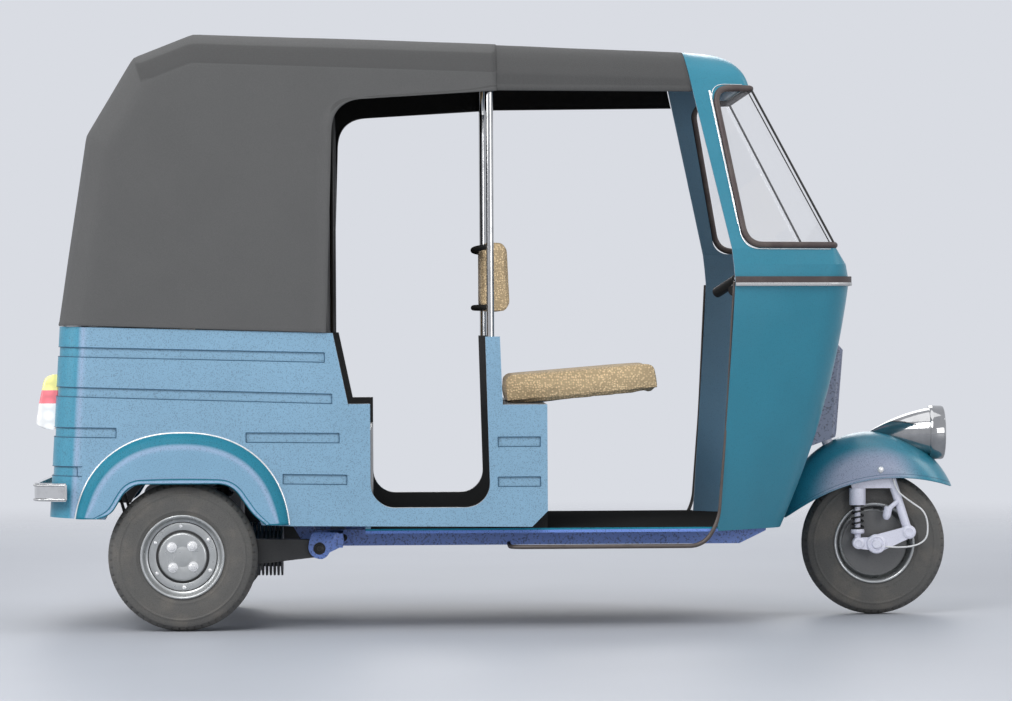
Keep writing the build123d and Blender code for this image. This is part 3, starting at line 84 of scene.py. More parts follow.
class RickshawSizes(bpy.types.PropertyGroup):
    """Sizes of the pieces that dress the frame"""

    hood_cloth: length("Hood cloth", "Thickness of the hood's coated cloth", 0.004, 0.002, 0.006)
    hem_width: length("Hem width", "Width of the folded hem round the hood", 0.016, 0.008, 0.03)
    roof_sag: length("Roof sag", "How far the roof cloth sinks between its bows", 0.004, 0.0, 0.012)
    seat_swell: length("Seat swell", "How far the seat covers may swell from the foam's shape", 0.006,
                       0.004, 0.02)
    seat_sink: length("Seat sink", "How far the driver's cushion settles over its board", 0.006, 0.0, 0.01)
    cable: length("Brake cable", "Diameter of the brake cable", 0.005, 0.004, 0.008)
    seat_nose: length("Seat nose", "How far the top of the driver's seat stands forward", 0.03, 0.0, 0.04)
    gasket: length("Gasket", "Radius of the windscreen's rubber gasket", 0.0095, 0.005, 0.012)
    # The dark lines round the ribs are painted shade of their pressed edges.
    rib_line: length("Rib line", "Radius of the dark line round the pressed ribs", 0.0012, 0.0006, 0.002)
    tread_depth: length("Tread depth", "Depth of the grooves in the tyres", 0.005, 0.0, 0.008)
    wheel_nut: length("Wheel nut", "Half width of the wheel nuts", 0.0095, 0.006, 0.014)
    spring_wire: length("Spring wire", "Wire radius of the rear springs", 0.005, 0.003, 0.007)
    fender_bead: length("Fender bead", "Radius of the bright bead round the rear fenders", 0.0032, 0.002,
                        0.006)
    fender_shoulder: length("Fender shoulder", "Width of the round shoulder of the rear fenders", 0.058,
                            0.02, 0.08)
    tread_blocks: IntProperty(name="Tread blocks", description="Blocks round each shoulder", default=60,
                              min=24, max=90)


class RickshawColours(bpy.types.PropertyGroup):
    """Colours of the finishes"""

    # Laid over the teal on faces that face sideways: painted highlight of a frontal light. The seat box takes
    # it as its plain colour.
    panel: colour("Side panels", "Paint of the panels, bleached by the sun", chip(131, 171, 198))
    # Lilac band where sideways faces turn into their round edges: painted highlight.
    bloom: colour("Panel bloom", "Paint where the panels turn into their round edges", chip(150, 177, 206))
    teal: colour("Cowl", "Paint of the cowl, the cab and the round edges", chip(44, 134, 158))
    # Inside faces of the cowl and cab take this paler colour. It is partly the inside's own paint and partly
    # painted light, lifted against the shade inside.
    cab_inside: colour("Cab inside", "Paint inside the cab", chip(112, 152, 180))
    chassis: colour("Chassis", "Paint of the rails", chip(122, 152, 226))
    hood: colour("Hood", "Coated cloth of the hood", grey(95))
    # Darker grey than the hood's cloth of the same weave: painted shade where the driver's roof turns away
    # from the light.
    roof: colour("Driver's roof", "Coated cloth over the driver", grey(84))
    lining: colour("Lining", "Underside of the hood", grey(22))
    seat: colour("Seats", "Woven seat covers", chip(252, 222, 176))
    rubber: colour("Rubber", "Gaskets and trim", chip(68, 56, 55))
    tyre: colour("Tyres", "Worn tyre rubber", chip(88, 87, 85))
    rim: colour("Rims", "Silver paint of the wheels", chip(178, 180, 180))
    fork: colour("Fork", "Pale paint of the fork and link", chip(236, 236, 250))


def sizes():
    """Sizes set in this file."""
    return bpy.context.scene.rickshaw_sizes


def colours():
    """Colours set in this file."""
    return bpy.context.scene.rickshaw_colours


class Finish:
    """Node graph of one finish, in the object's own coordinates."""

    def __init__(self, name):
        self.material = bpy.data.materials.new(name)
        self.material.use_nodes = True
        self.tree = self.material.node_tree
        self.tree.nodes.clear()
        self.place = self.node("TexCoord").outputs["Object"]

    def node(self, kind, inputs=None, **settings):
        """New node with its settings, and its inputs set or linked."""
        made = self.tree.nodes.new("ShaderNode" + kind)
        for key, value in settings.items():
            setattr(made, key, value)
        for key, value in (inputs or {}).items():
            if isinstance(value, bpy.types.NodeSocket):
                self.tree.links.new(value, made.inputs[key])
            else:
                made.inputs[key].default_value = value
        return made

    def noise(self, scale, detail=3.0, rough=0.55):
        """Soft random pattern with about scale patches to a metre."""
        inputs = {"Vector": self.place, "Scale": scale, "Detail": detail, "Roughness": rough}
        return self.node("TexNoise", inputs).outputs["Fac"]

    def cells(self, scale, randomness, stretch=(1, 1, 1)):
        """Cells of a weave or grain, scale to a metre."""
        where = self.node("Mapping", {"Vector": self.place, "Scale": stretch}).outputs["Vector"]
        inputs = {"Vector": where, "Scale": scale, "Randomness": randomness}
        return self.node("TexVoronoi", inputs).outputs["Distance"]

    def span(self, fac, low, high, to_low=0.0, to_high=1.0):
        """Part of a pattern between two levels, as a smooth step."""
        inputs = {"Value": fac, "From Min": low, "From Max": high, "To Min": to_low, "To Max": to_high}
        return self.node("MapRange", inputs, interpolation_type="SMOOTHSTEP").outputs["Result"]

    def sum(self, operation, first, second=0.0):
        """Result of one sum."""
        return self.node("Math", {0: first, 1: second}, operation=operation).outputs["Value"]

    def mix(self, fac, first, second, blend="MIX"):
        """Colour between two colours."""
        made = self.node("Mix", data_type="RGBA", blend_type=blend)
        for key, value in (("Factor_Float", fac), ("A_Color", first), ("B_Color", second)):
            socket = next(s for s in made.inputs if s.identifier == key)
            if isinstance(value, bpy.types.NodeSocket):
                self.tree.links.new(value, socket)
            else:
                socket.default_value = (*value, 1.0) if hasattr(value, "__len__") else value
        return next(s for s in made.outputs if s.identifier == "Result_Color")

    def bump(self, height, distance, strength=1.0, under=None):
        """Surface normal raised by a pattern."""
        inputs = {"Height": height, "Distance": distance, "Strength": strength}
        if under is not None:
            inputs["Normal"] = under
        return self.node("Bump", inputs).outputs["Normal"]

    def axis(self, key, vector=None):
        """X, Y or Z of the place, or of another vector."""
        return self.node("SeparateXYZ", {0: vector or self.place}).outputs[key]

    def normal(self):
        """Direction that the surface faces."""
        return self.node("NewGeometry").outputs["Normal"]

    def facing_side(self, low, high):
        """Where the surface faces right or left."""
        return self.span(self.sum("ABSOLUTE", self.axis("Y", self.normal())), low, high)

    def facing(self, key, low, high):
        """Where the surface faces along X, Y or Z."""
        return self.span(self.axis(key, self.normal()), low, high)

    def all_of(self, *masks):
        """Where all masks hold."""
        whole = masks[0]
        for mask in masks[1:]:
            whole = self.sum("MULTIPLY", whole, mask)
        return whole

    def beyond(self, key, limit):
        """Where the place along X, Y or Z is past a limit."""
        return self.sum("GREATER_THAN", self.axis(key), limit)

    def facing_in(self, centre):
        """Where the surface faces the upright line over a centre."""
        out = self.node("VectorMath", {0: self.place, 1: (centre, 0, 0)}, operation="SUBTRACT").outputs[0]
        flat = self.node("VectorMath", {0: out, 1: (1, 1, 0)}, operation="MULTIPLY").outputs[0]
        dot = self.node("VectorMath", {0: flat, 1: self.normal()}, operation="DOT_PRODUCT").outputs["Value"]
        return self.sum("LESS_THAN", dot, -0.02)

    def close(self, **values):
        """Principled surface with these inputs, joined to the output."""
        inputs = {key.replace("_", " "): value for key, value in values.items()}
        inputs = {key: (*value, 1.0) if isinstance(value, tuple) else value for key, value in inputs.items()}
        shader = self.node("BsdfPrincipled", inputs)
        self.node("OutputMaterial", {"Surface": shader.outputs["BSDF"]})
        return self.material


def paint(name, coat_colour, rough=0.38, fleck=0.3, fleck_size=0.0032, zones=(), coat=0.25, shine=0.5):
    """Sprayed paint with fine flecks; zones are (mask made from the finish, colour) laid over it in order."""
    f = Finish(name)
    base = coat_colour
    for mask, tint in zones:
        base = f.mix(mask(f), base, tint)
    base = f.mix(1.0, base, f.mix(f.noise(4.5), grey(230), grey(255)), "MULTIPLY")
    grain = f.noise(1 / fleck_size, 2.0, 0.6)
    specks = f.sum("MULTIPLY", f.span(grain, 0.52, 0.66), fleck)
    base = f.mix(specks, base, f.mix(1.0, base, grey(120), "MULTIPLY"))
    peel = f.bump(grain, 0.0004, 0.35)
    dull = f.span(f.noise(14.0, 4.0), 0.3, 0.7, rough - 0.06, rough + 0.08)
    return f.close(Base_Color=base, Roughness=dull, Normal=peel, Coat_Weight=coat, Coat_Roughness=0.2,
                   Specular_IOR_Level=shine)


def bright(name, tint, rough, grain_size=0.006, metal=1.0, zones=()):
    """Polished or bare metal with smears and fine scratches; zones are dull places of their own colour."""
    f = Finish(name)
    smear = f.noise(22.0, 4.0)
    fine = f.cells(1 / grain_size, 1.0)
    base = f.mix(f.span(smear, 0.35, 0.75), tint, tuple(c * 0.8 for c in tint))
    shine = f.span(smear, 0.3, 0.75, rough * 0.7, rough * 1.5 + 0.02)
    gloss = 0.5
    for mask, other in zones:
        dull = mask(f)
        clear = f.sum("SUBTRACT", 1.0, dull)
        base = f.mix(dull, base, other)
        metal, gloss = f.sum("MULTIPLY", clear, metal), f.sum("MULTIPLY", clear, gloss)
        shine = f.sum("MAXIMUM", shine, dull)
    return f.close(Base_Color=base, Metallic=metal, Roughness=shine, Specular_IOR_Level=gloss,
                   Normal=f.bump(fine, 0.0001, 0.25))


def rubber(name, tint, rough=0.7, grain_size=0.002, dust=0.25):
    """Rubber with a fine grain and dust in its hollows."""
    f = Finish(name)
    grain = f.noise(1 / grain_size, 3.0)
    film = f.sum("MULTIPLY", f.span(f.noise(12.0, 5.0), 0.42, 0.72), dust)
    base = f.mix(film, tint, chip(128, 120, 110))
    base = f.mix(f.sum("MULTIPLY", f.span(grain, 0.45, 0.7), 0.3), base, tuple(c * 0.55 for c in tint))
    shine = f.span(grain, 0.3, 0.7, rough - 0.1, rough + 0.1)
    return f.close(Base_Color=base, Roughness=shine, Normal=f.bump(grain, 0.0004, 0.5))


def woven(name, tint, thread, shade=0.72, rough=0.85, sheen=0.15, stain=0.12, zones=(), jitter=0.12):
    """Cloth woven of threads that far apart, with faint stains."""
    f = Finish(name)
    weave = f.cells(1 / thread, jitter)
    deep = f.span(weave, 0.15, 0.62)
    base = f.mix(deep, tint, tuple(c * shade for c in tint))
    # Zones darken places of the cloth by a share; the hood's one lays painted shade on its bevel.
    for mask, share in zones:
        base = f.mix(mask(f), base, f.mix(1.0, base, (share, share, share), "MULTIPLY"))
    fade = f.span(f.noise(5.0, 5.0), 0.35, 0.7)
    base = f.mix(f.sum("MULTIPLY", fade, stain), base, tuple(c * 0.6 for c in tint))
    height = f.sum("SUBTRACT", 1.0, deep)
    creases = f.bump(f.noise(30.0, 3.0), 0.002, 0.15)
    return f.close(Base_Color=base, Roughness=rough, Sheen_Weight=sheen, Specular_IOR_Level=0.25,
                   Normal=f.bump(height, thread * 0.3, 0.6, creases))


def glass(name, tint, clear=0.94, rough=0.02):
    """Thin pane that lets the view through, with a faint gloss and smudges."""
    f = Finish(name)
    smudge = f.noise(7.0, 5.0)
    view = f.node("BsdfTransparent", {"Color": (*tint, 1.0)}).outputs[0]
    gloss = f.node("BsdfGlossy", {"Roughness": f.span(smudge, 0.3, 0.8, rough, rough + 0.06)}).outputs[0]
    film = f.node("BsdfDiffuse", {"Color": (0.9, 0.9, 0.95, 1.0)}).outputs[0]
    see = f.node("MixShader", {"Fac": 0.04, 1: view, 2: gloss}).outputs[0]
    haze = f.span(smudge, 0.35, 0.85, 0.0, 1.0 - clear)
    whole = f.node("MixShader", {"Fac": haze, 1: see, 2: film}).outputs[0]
    f.node("OutputMaterial", {"Surface": whole})
    return f.material


def lens(name, tint, painted_glow=0.22):
    """Moulded lamp lens with fine ribs inside, with a painted glow: it gives off a little light of its own
    colour though the lamp is off.
    """
    f = Finish(name)
    ribs = f.cells(140.0, 0.0, (0.2, 1, 0.2))
    base = f.mix(f.span(ribs, 0.1, 0.6), tint, tuple(c * 0.75 for c in tint))
    return f.close(Base_Color=base, Roughness=0.12, IOR=1.45, Coat_Weight=0.6, Emission_Color=base,
                   Emission_Strength=painted_glow, Normal=f.bump(ribs, 0.0012, 0.4))


class Shape:
    """Points and faces gathered for one piece."""

    def __init__(self):
        self.points = []
        self.faces = []
        self.marks = []

    def add(self, points, faces, mark=0):
        """Points with faces that count from their first point; mark is the finish."""
        start = len(self.points)
        self.points += [Vector(p) for p in points]
        self.faces += [[start + i for i in face] for face in faces]
        self.marks += [mark] * len(faces)

    def grid(self, rows, ring=False, loop=False, mark=0):
        """Rows of points as quads; ring closes each row, loop joins the last row to the first."""
        high, wide = len(rows), len(rows[0])
        faces = []
        for i in range(high if loop else high - 1):
            for j in range(wide if ring else wide - 1):
                k, n = (i + 1) % high, (j + 1) % wide
                faces.append((i * wide + j, i * wide + n, k * wide + n, k * wide + j))
        self.add([p for row in rows for p in row], faces, mark)

    def lathe(self, profile, origin, axis, turns=48, mark=0, wobble=None):
        """Profile of (radius, height) pairs turned about an axis; a radius of 0 closes it."""
        axis = Vector(axis).normalized()
        side = axis.orthogonal().normalized()
        up = axis.cross(side)
        rows = []
        for i in range(turns):
            angle = 2 * math.pi * i / turns
            out = side * math.cos(angle) + up * math.sin(angle)
            shift = wobble or (lambda radius, height, turn: radius)
            rows.append([Vector(origin) + out * shift(r, h, angle) + axis * h for r, h in profile])
        self.grid(rows, loop=True, mark=mark)

    def tube(self, path, radius, sides=10, closed=False, mark=0):
        """Round tube along a path, with closed ends; radius may be a list with one value to each point."""
        path = [Vector(p) for p in path]
        count = len(path)
        rows = []
        side = None
        for i, point in enumerate(path):
            before = path[i - 1] if i or closed else point
            after = path[(i + 1) % count] if i < count - 1 or closed else point
            run = (after - before).normalized()
            side = (run.orthogonal() if side is None else side - run * side.dot(run)).normalized()
            up = run.cross(side)
            turn = [2 * math.pi * j / sides for j in range(sides)]
            wide = radius[i] if isinstance(radius, list) else radius
            rows.append([point + wide * (side * math.cos(a) + up * math.sin(a)) for a in turn])
        start = len(self.points)
        self.grid(rows, ring=True, loop=closed, mark=mark)
        if not closed:
            last = start + (count - 1) * sides
            self.faces += [list(range(start, start + sides))[::-1], list(range(last, last + sides))]
            self.marks += [mark, mark]

    def nut(self, origin, axis, half, height):
        """Six-sided nut with a washer under it and a round end over it."""
        washer = [(0, 0), (half * 1.5, 0), (half * 1.5, height * 0.18), (0, height * 0.18)]
        self.lathe(washer, origin, axis, 24)
        corner = half * 1.155
        body = [(0, height * 0.18), (corner, height * 0.18), (corner, height * 0.8), (half * 0.9, height),
                (half * 0.55, height), (half * 0.5, height * 1.25), (0, height * 1.3)]
        self.lathe(body, origin, axis, 6)

    def build(self, name, finishes, body, replaced=None, sharp=40, tidy=True):
        """Piece of that name on a CAD body, in place of a CAD node if one is given."""
        mesh = bpy.data.meshes.new(name)
        mesh.from_pydata(self.points, [], self.faces)
        mesh.polygons.foreach_set("material_index", self.marks)
        if tidy:
            work = bmesh.new()
            work.from_mesh(mesh)
            bmesh.ops.remove_doubles(work, verts=work.verts, dist=1e-6)
            bmesh.ops.dissolve_degenerate(work, edges=work.edges, dist=1e-7)
            bmesh.ops.recalc_face_normals(work, faces=work.faces)
            work.to_mesh(mesh)
            work.free()
        mesh.shade_smooth()
        mesh.set_sharp_from_angle(angle=math.radians(sharp))
        return place(bpy.data.objects.new(name, mesh), finishes, body, replaced)


def place(piece, finishes, body, replaced=None):
    """Puts a piece in the scene with the finishes of these names, on a CAD body."""
    if piece.name not in bpy.context.scene.objects:
        bpy.context.scene.collection.objects.link(piece)
    if piece.data.materials:
        piece.data.materials.clear()
    for name in [finishes] if isinstance(finishes, str) else finishes:
        piece.data.materials.append(finish(name))
    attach(piece, body)
    if replaced:
        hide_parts(replaced)
    return piece


def finish(name):
    """Finish made by the paint step."""
    return bpy.data.materials[name]


def along(path, share):
    """Point at a share of a path's length."""
    runs = [(b - a).length for a, b in zip(path, path[1:])]
    left = share * sum(runs)
    for a, b, run in zip(path, path[1:], runs):
        if left <= run:
            return a.lerp(b, left / run if run else 0)
        left -= run
    return path[-1].copy()


def rounded(points, radius, steps=8):
    """Path through points with rounded inner corners; radius may be a list with one value to each."""
    points = [Vector(p) for p in points]
    path = [points[0]]
    reaches = radius if isinstance(radius, list) else [radius] * len(points)
    for before, corner, after, most in zip(points, points[1:], points[2:], reaches):
        reach = min(most, (before - corner).length / 2, (after - corner).length / 2)
        start = corner + (before - corner).normalized() * reach
        end = corner + (after - corner).normalized() * reach
        for i in range(steps + 1):
            t = i / steps
            path.append(start * (1 - t) ** 2 + corner * 2 * t * (1 - t) + end * t**2)
    path.append(points[-1])
    return path


def arc_through(first, middle, last, steps):
    """Points of the arc through three side-view points."""
    (ax, az), (bx, bz), (cx, cz) = ((p[0], p[2]) for p in (first, middle, last))
    d = 2 * (ax * (bz - cz) + bx * (cz - az) + cx * (az - bz))
    a2, b2, c2 = ax**2 + az**2, bx**2 + bz**2, cx**2 + cz**2
    hub = Vector(((a2 * (bz - cz) + b2 * (cz - az) + c2 * (az - bz)) / d, 0,
                  (a2 * (cx - bx) + b2 * (ax - cx) + c2 * (bx - ax)) / d))
    start, end = Vector(first) - hub, Vector(last) - hub
    turn = math.atan2(end.z * start.x - end.x * start.z, start.x * end.x + start.z * end.z)
    path = []
    for k in range(steps + 1):
        a = math.atan2(start.z, start.x) + turn * k / steps
        path.append(hub + start.length * Vector((math.cos(a), 0, math.sin(a))))
    return path


# Finishes of the CAD pieces: finish, then the nodes that have it
NODE_FINISHES = {
    "chassis_paint": ("chassis_rails", "cross_members", "arm_carriers"),
    "frame_paint": ("hood_bows", "trailing_arms", "steering_neck"),
    "floor_paint": ("floor_pan",),
    "panel_paint": ("side_panels", "rear_fenders", "seat_base"),
    "box_paint": ("seat_box",),
    "tail_paint": ("back_panel", "engine_lid"),
    "cowl_paint": ("front_cowl", "cab_top"),
    "column_paint": ("column_cover",),
    "mudguard_paint": ("front_mudguard",),
    "chrome": ("bumper", "handlebar"),
    "post_chrome": ("roof_posts",),
    "lamp_chrome": ("headlamp_shell",),
    "edge_steel": ("edge_tubes",),
    "gasket_rubber": ("windscreen_gasket", "cowl_trim"),
    "pane_glass": ("windscreen_glass",),
    "lamp_glass": ("headlamp_lens",),
    "white_lens": ("tail_lens_white",),
    "red_lens": ("tail_lens_red",),
    "amber_lens": ("tail_lens_amber",),
    "cast_alloy": ("engine",),
    "exhaust_steel": ("muffler",),
    "fork_paint": ("fork",),
    "link_paint": ("front_link",),
    "cable_sleeve": ("brake_cable",),
    "grip_rubber": ("handlebar_grips",),
}


class RICKSHAW_OT_finishes(bpy.types.Operator):
    """Makes the finishes and gives each CAD piece its own"""

    bl_idname = "rickshaw.finishes"
    bl_label = "Paint and metal finishes"

    def execute(self, context):
        c = {key: tuple(getattr(colours(), key)) for key in RickshawColours.__annotations__}
        inside = lambda centre: lambda f: f.facing_in(centre)
        side = lambda low, high: lambda f: f.facing_side(low, high)
        # Painted highlight: faces turning sideways go lilac, then light blue, over the teal paint.
        panel_highlight_zones = [(side(0.93, 0.985), c["bloom"]), (side(0.985, 0.999), c["panel"])]
        # Faces that face up; used to lay painted shade.
        upward_shade = lambda f: f.facing("Z", 0.85, 0.95)
        door_edge_shade = lambda f: f.all_of(f.facing("X", 0.8, 0.9), f.sum("SUBTRACT", 1.0, f.beyond("X", -0.25)))
        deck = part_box("floor_pan")[1][2]
        deck_edge = lambda f: f.all_of(f.facing_side(0.9, 0.95), f.beyond("Z", deck - 0.005))
        paint("chassis_paint", c["chassis"], rough=0.4, fleck=0.7, fleck_size=0.006)
        paint("frame_paint", grey(38), rough=0.5, fleck=0.3)
        floor_zones = [(side(0.9, 0.95), c["chassis"]), (deck_edge, c["teal"])]
        paint("floor_paint", grey(50), rough=0.75, fleck=0.5, zones=floor_zones, coat=0, shine=0)
        # Painted shade: panel faces that face inward, face up, or face forward at the doorway's edge are
        # painted dark grey.
        painted_shade_zones = [(inside(-0.5), grey(40)), (upward_shade, grey(30)), (door_edge_shade, grey(34))]
        # Painted shade on the seat box: its foot, what lies forward of x 0.119, what lies above z 0.6335 and
        # faces that face up are painted near black.
        box_foot_shade = lambda f: f.sum("LESS_THAN", f.axis("Z"), 0.335)
        box_shade_zones = [(box_foot_shade, grey(34)), (lambda f: f.beyond("X", 0.119), grey(24)),
                     (lambda f: f.beyond("Z", 0.6335), grey(24)), (upward_shade, grey(20))]
        paint("box_paint", c["panel"], rough=0.6, fleck=0.45, zones=box_shade_zones, coat=0, shine=0.1)
        paint("panel_paint", chip(66, 148, 176), rough=0.42, fleck=0.45, zones=panel_highlight_zones + painted_shade_zones)
        # Painted highlight on the fenders: lilac, then light blue, where the faces turn sideways.
        fender_highlight_zones = [(side(0.95, 0.985), c["bloom"]), (side(0.988, 0.999), c["panel"])]
        paint("fender_paint", chip(40, 128, 152), rough=0.5, fleck=0.35, zones=fender_highlight_zones, coat=0,
              shine=0.2)
        # Dark blue-grey for lines of painted shade along the ribs' edges and the mudguard's fold.
        paint("rib_line_paint", chip(48, 92, 120), rough=0.5)
        paint("column_paint", chip(138, 144, 166), rough=0.4, fleck=0.7, fleck_size=0.006)
        # Painted shade: inward faces of the back panel and engine lid are painted dark grey.
        paint("tail_paint", c["teal"], rough=0.4, fleck=0.35, zones=[(inside(0.0), grey(34))])
        # Faces that face inward take the inside colour: partly their own paint, partly painted light.
        paint("cowl_paint", c["teal"], rough=0.36, fleck=0.18, zones=[(inside(0.3), c["cab_inside"])],
              coat=0.08)
        # Painted highlight: the mudguard's sides near x 1.06 are painted pale lilac over the teal.
        cheek_highlight = lambda f: f.sum("MULTIPLY", f.facing_side(0.72, 0.98),
                                f.span(f.sum("ABSOLUTE", f.sum("SUBTRACT", f.axis("X"), 1.06)), 0.07, 0.19,
                                       1.0, 0.0))
        paint("mudguard_paint", c["teal"], rough=0.34, fleck=0.4, zones=[(cheek_highlight, chip(160, 170, 194))])
        paint("fork_paint", c["fork"], rough=0.35, fleck=0.15)
        plate = lambda f: f.span(f.axis("Y"), -0.062, -0.058)
        paint("link_paint", c["fork"], rough=0.35, fleck=0.15, zones=[(plate, grey(100))])
        bright("chrome", grey(215), 0.1)
        rails = lambda f: f.all_of(f.sum("LESS_THAN", f.sum("ABSOLUTE", f.axis("Y")), 0.583),
                                   f.sum("LESS_THAN", f.axis("Z"), 1.2))
        bright("post_chrome", grey(190), 0.1, zones=[(rails, grey(50))])
        bright("strip_steel", grey(190), 0.3, metal=0.6)
        bright("lamp_chrome", grey(175), 0.07)
        bright("edge_steel", chip(92, 84, 80), 0.45, metal=0.4)
        bright("rim_paint", c["rim"], 0.32, metal=0.6)
        bright("nut_steel", grey(240), 0.25, metal=0.5)
        bright("cast_alloy", grey(150), 0.5, 0.003)
        bright("exhaust_steel", chip(112, 104, 98), 0.5, 0.004)
        bright("dark_steel", grey(62), 0.45, 0.004)
        rubber("gasket_rubber", c["rubber"], 0.55)
        rubber("tyre_rubber", c["tyre"], 0.82, 0.003, 0.35)
        rubber("grip_rubber", grey(22), 0.6, dust=0.05)
        rubber("spring_black", grey(30), 0.4, dust=0.1)
        rubber("cable_sleeve", grey(225), 0.45, dust=0.08)
        mitre = lambda f: f.span(f.sum("ADD", f.axis("X"), f.sum("MULTIPLY", f.axis("Z"), 0.345)), -0.489,
                                 -0.481)
        # Painted shade: the hood bevel's lower facet is darkened to 0.72 of the cloth's colour.
        band = lambda f: f.all_of(f.facing("Z", 0.14, 0.24), mitre(f), f.facing("Z", 0.72, 0.6))
        woven("hood_cloth", c["hood"], 0.0022, 0.86, sheen=0.05, zones=[(band, 0.72)], jitter=0.7)
        woven("roof_cloth", c["roof"], 0.0022, 0.86, sheen=0.05, jitter=0.7)
        woven("lining_cloth", c["lining"], 0.0025, 0.7, sheen=0.0, jitter=0.7)
        woven("seat_cloth", c["seat"], 0.007, 0.55, stain=0.05, jitter=0.75)
        glass("pane_glass", (1.0, 1.0, 1.0), clear=0.99)
        glass("lamp_glass", (0.9, 0.92, 0.93), clear=0.7)
        lens("white_lens", grey(250))
        lens("red_lens", chip(250, 132, 142))
        lens("amber_lens", chip(252, 246, 160))
        for name, nodes in NODE_FINISHES.items():
            for node in nodes:
                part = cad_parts[node]
                part.data.materials.clear()
                part.data.materials.append(finish(name))
        return {"FINISHED"}


# Hood in side view, at the middle of the vehicle: its profile from the foot of the tail, the end of the
# driver's roof, where the two sheets meet, the bevel along the roof and the edge over the doorway
HOOD_FOOT = Vector((-1.254, 0, 0.859))
HOOD_PROFILE = [HOOD_FOOT, Vector((-1.1735, 0, 1.3925)), Vector((-1.041, 0, 1.612)),
                Vector((-0.874, 0, 1.6775))]
ROOF_FRONT = Vector((0.509, 0, 1.628))
ROOF_SPLIT_X = -0.041
HOOD_BEVEL = 0.078
# How far the hood runs past the meeting line, and how far the roof is tucked under it
HOOD_LAP = 0.02
ROOF_TUCK = 0.03
BEVEL_INSETS = (0.065, 0.068, 0.076, 0.083)
DOOR_EDGE = [(-0.501, 0, 0.836), (-0.481, 0, 1.486), (ROOF_SPLIT_X + HOOD_LAP, 0, 1.512)]
ROOF_HEAD_END = Vector((0.534, 0, 1.512))
ROOF_BEVEL_END = Vector((0.526, 0, 1.55))
BOW_XS = (-0.884, -0.86, -0.5, -0.041, 0.509)


def hood_half(x, z):
    """Half width of the hood at a side-view point."""
    return 0.622 - max(0.0, 0.1645 * (x - ROOF_SPLIT_X)) - 0.0105 * (z - 0.859)


def inset_path(path, insets):
    """Side-view path moved down and inward, each run by its own inset, with its corners mitred."""
    lines = []
    for a, b, inset in zip(path, path[1:], insets):
        run = (b - a).normalized()
        lines.append((a + Vector((run.z, 0, -run.x)) * inset, run))
    moved = [lines[0][0]]
    for (p, u), (q, v) in zip(lines, lines[1:]):
        cross = u.x * v.z - u.z * v.x
        t = ((q.x - p.x) * v.z - (q.z - p.z) * v.x) / cross
        moved.append(p + u * t)
    moved.append(path[-1] + Vector((lines[-1][1].z, 0, -lines[-1][1].x)) * insets[-1])
    return moved


def cloth_grid(crest, bevel, edge, shares, side_steps, hem):
    """Rows of points over the roof from one lower edge to the other; each path is read at its own shares."""
    rows = []
    for crest_share, bevel_share, edge_share in shares:
        e, b, i = along(crest, crest_share), along(bevel, bevel_share), along(edge, edge_share)
        drop = (b - i).length
        folds = [0.0, 0.0015, hem - 0.0015, hem]
        downs = [d / drop for d in folds]
        downs += [downs[-1] + (1 - downs[-1]) * (k + 1) / side_steps for k in range(side_steps)]
        half = []
        for d in downs:
            p = i.lerp(b, d)
            half.append(Vector((p.x, -hood_half(p.x, p.z), p.z)))
        flank = half[-1].copy()
        top = Vector((e.x, -(hood_half(e.x, e.z) - HOOD_BEVEL), e.z))
        ridge = flank.lerp(top, 0.69) + Vector((0, -0.032, 0))
        half += [flank.lerp(ridge, (k + 1) / 4) for k in range(4)] + [ridge.lerp(top, (k + 1) / 3)
                                                                      for k in range(3)]
        across = [Vector((top.x, top.y * (1 - 2 * k / 56), top.z)) for k in range(1, 56)]
        other = [Vector((p.x, -p.y, p.z)) for p in reversed(half)]
        rows.append(half + across + other)
    return rows


def smooth_rows(rows, passes):
    """Rounds the creases of a grid and leaves its rim in place."""
    for _ in range(passes):
        old = [[p.copy() for p in row] for row in rows]
        last = len(rows) - 1
        for i, row in enumerate(rows):
            for j in range(5, len(row) - 5):
                mean = (old[i][j - 1] + old[i][j + 1]) / 2
                if 0 < i < last:
                    mean = (mean + (old[i - 1][j] + old[i + 1][j]) / 2) / 2
                row[j] = old[i][j].lerp(mean, 0.6)
    return rows


def puff_rows(rows, move):
    """Moves each point of a grid along its normal by move(point, row, column)."""
    high, wide = len(rows), len(rows[0])
    old = [[p.copy() for p in row] for row in rows]
    for i in range(high):
        for j in range(wide):
            u = old[min(i + 1, high - 1)][j] - old[max(i - 1, 0)][j]
            v = old[i][min(j + 1, wide - 1)] - old[i][max(j - 1, 0)]
            normal = u.cross(v)
            if normal.length > 0:
                rows[i][j] = old[i][j] + normal.normalized() * move(old[i][j], i, j)
    return rows


def roof_sink(x):
    """Share of the sag at x, none at the bows."""
    for rear, front in zip(BOW_XS, BOW_XS[1:]):
        if rear <= x <= front:
            return math.sin(math.pi * (x - rear) / (front - rear)) ** 2
    return 0.0


def cloth_move(wide, lift):
    """How far hood cloth stands off its plain form: folds, sag between the bows and the doubled hem."""
    hem_columns = (1, 2, wide - 3, wide - 2)

    def move(p, i, j):
        slow = noise.noise(Vector((p.x * 3.1, p.y * 3.1, p.z * 2.2)))
        fine = noise.noise(Vector((p.x * 11.0, p.y * 11.0, p.z * 6.0 + 9.0)))
        off = lift + 0.0016 * slow + 0.0005 * fine
        if abs(p.y) < 0.5 and p.z > 1.6:
            off -= sizes().roof_sag * roof_sink(p.x) * math.cos(math.pi * p.y / 1.1)
        if j in hem_columns or i == 1:
            off += 0.0012
        return off

    return move


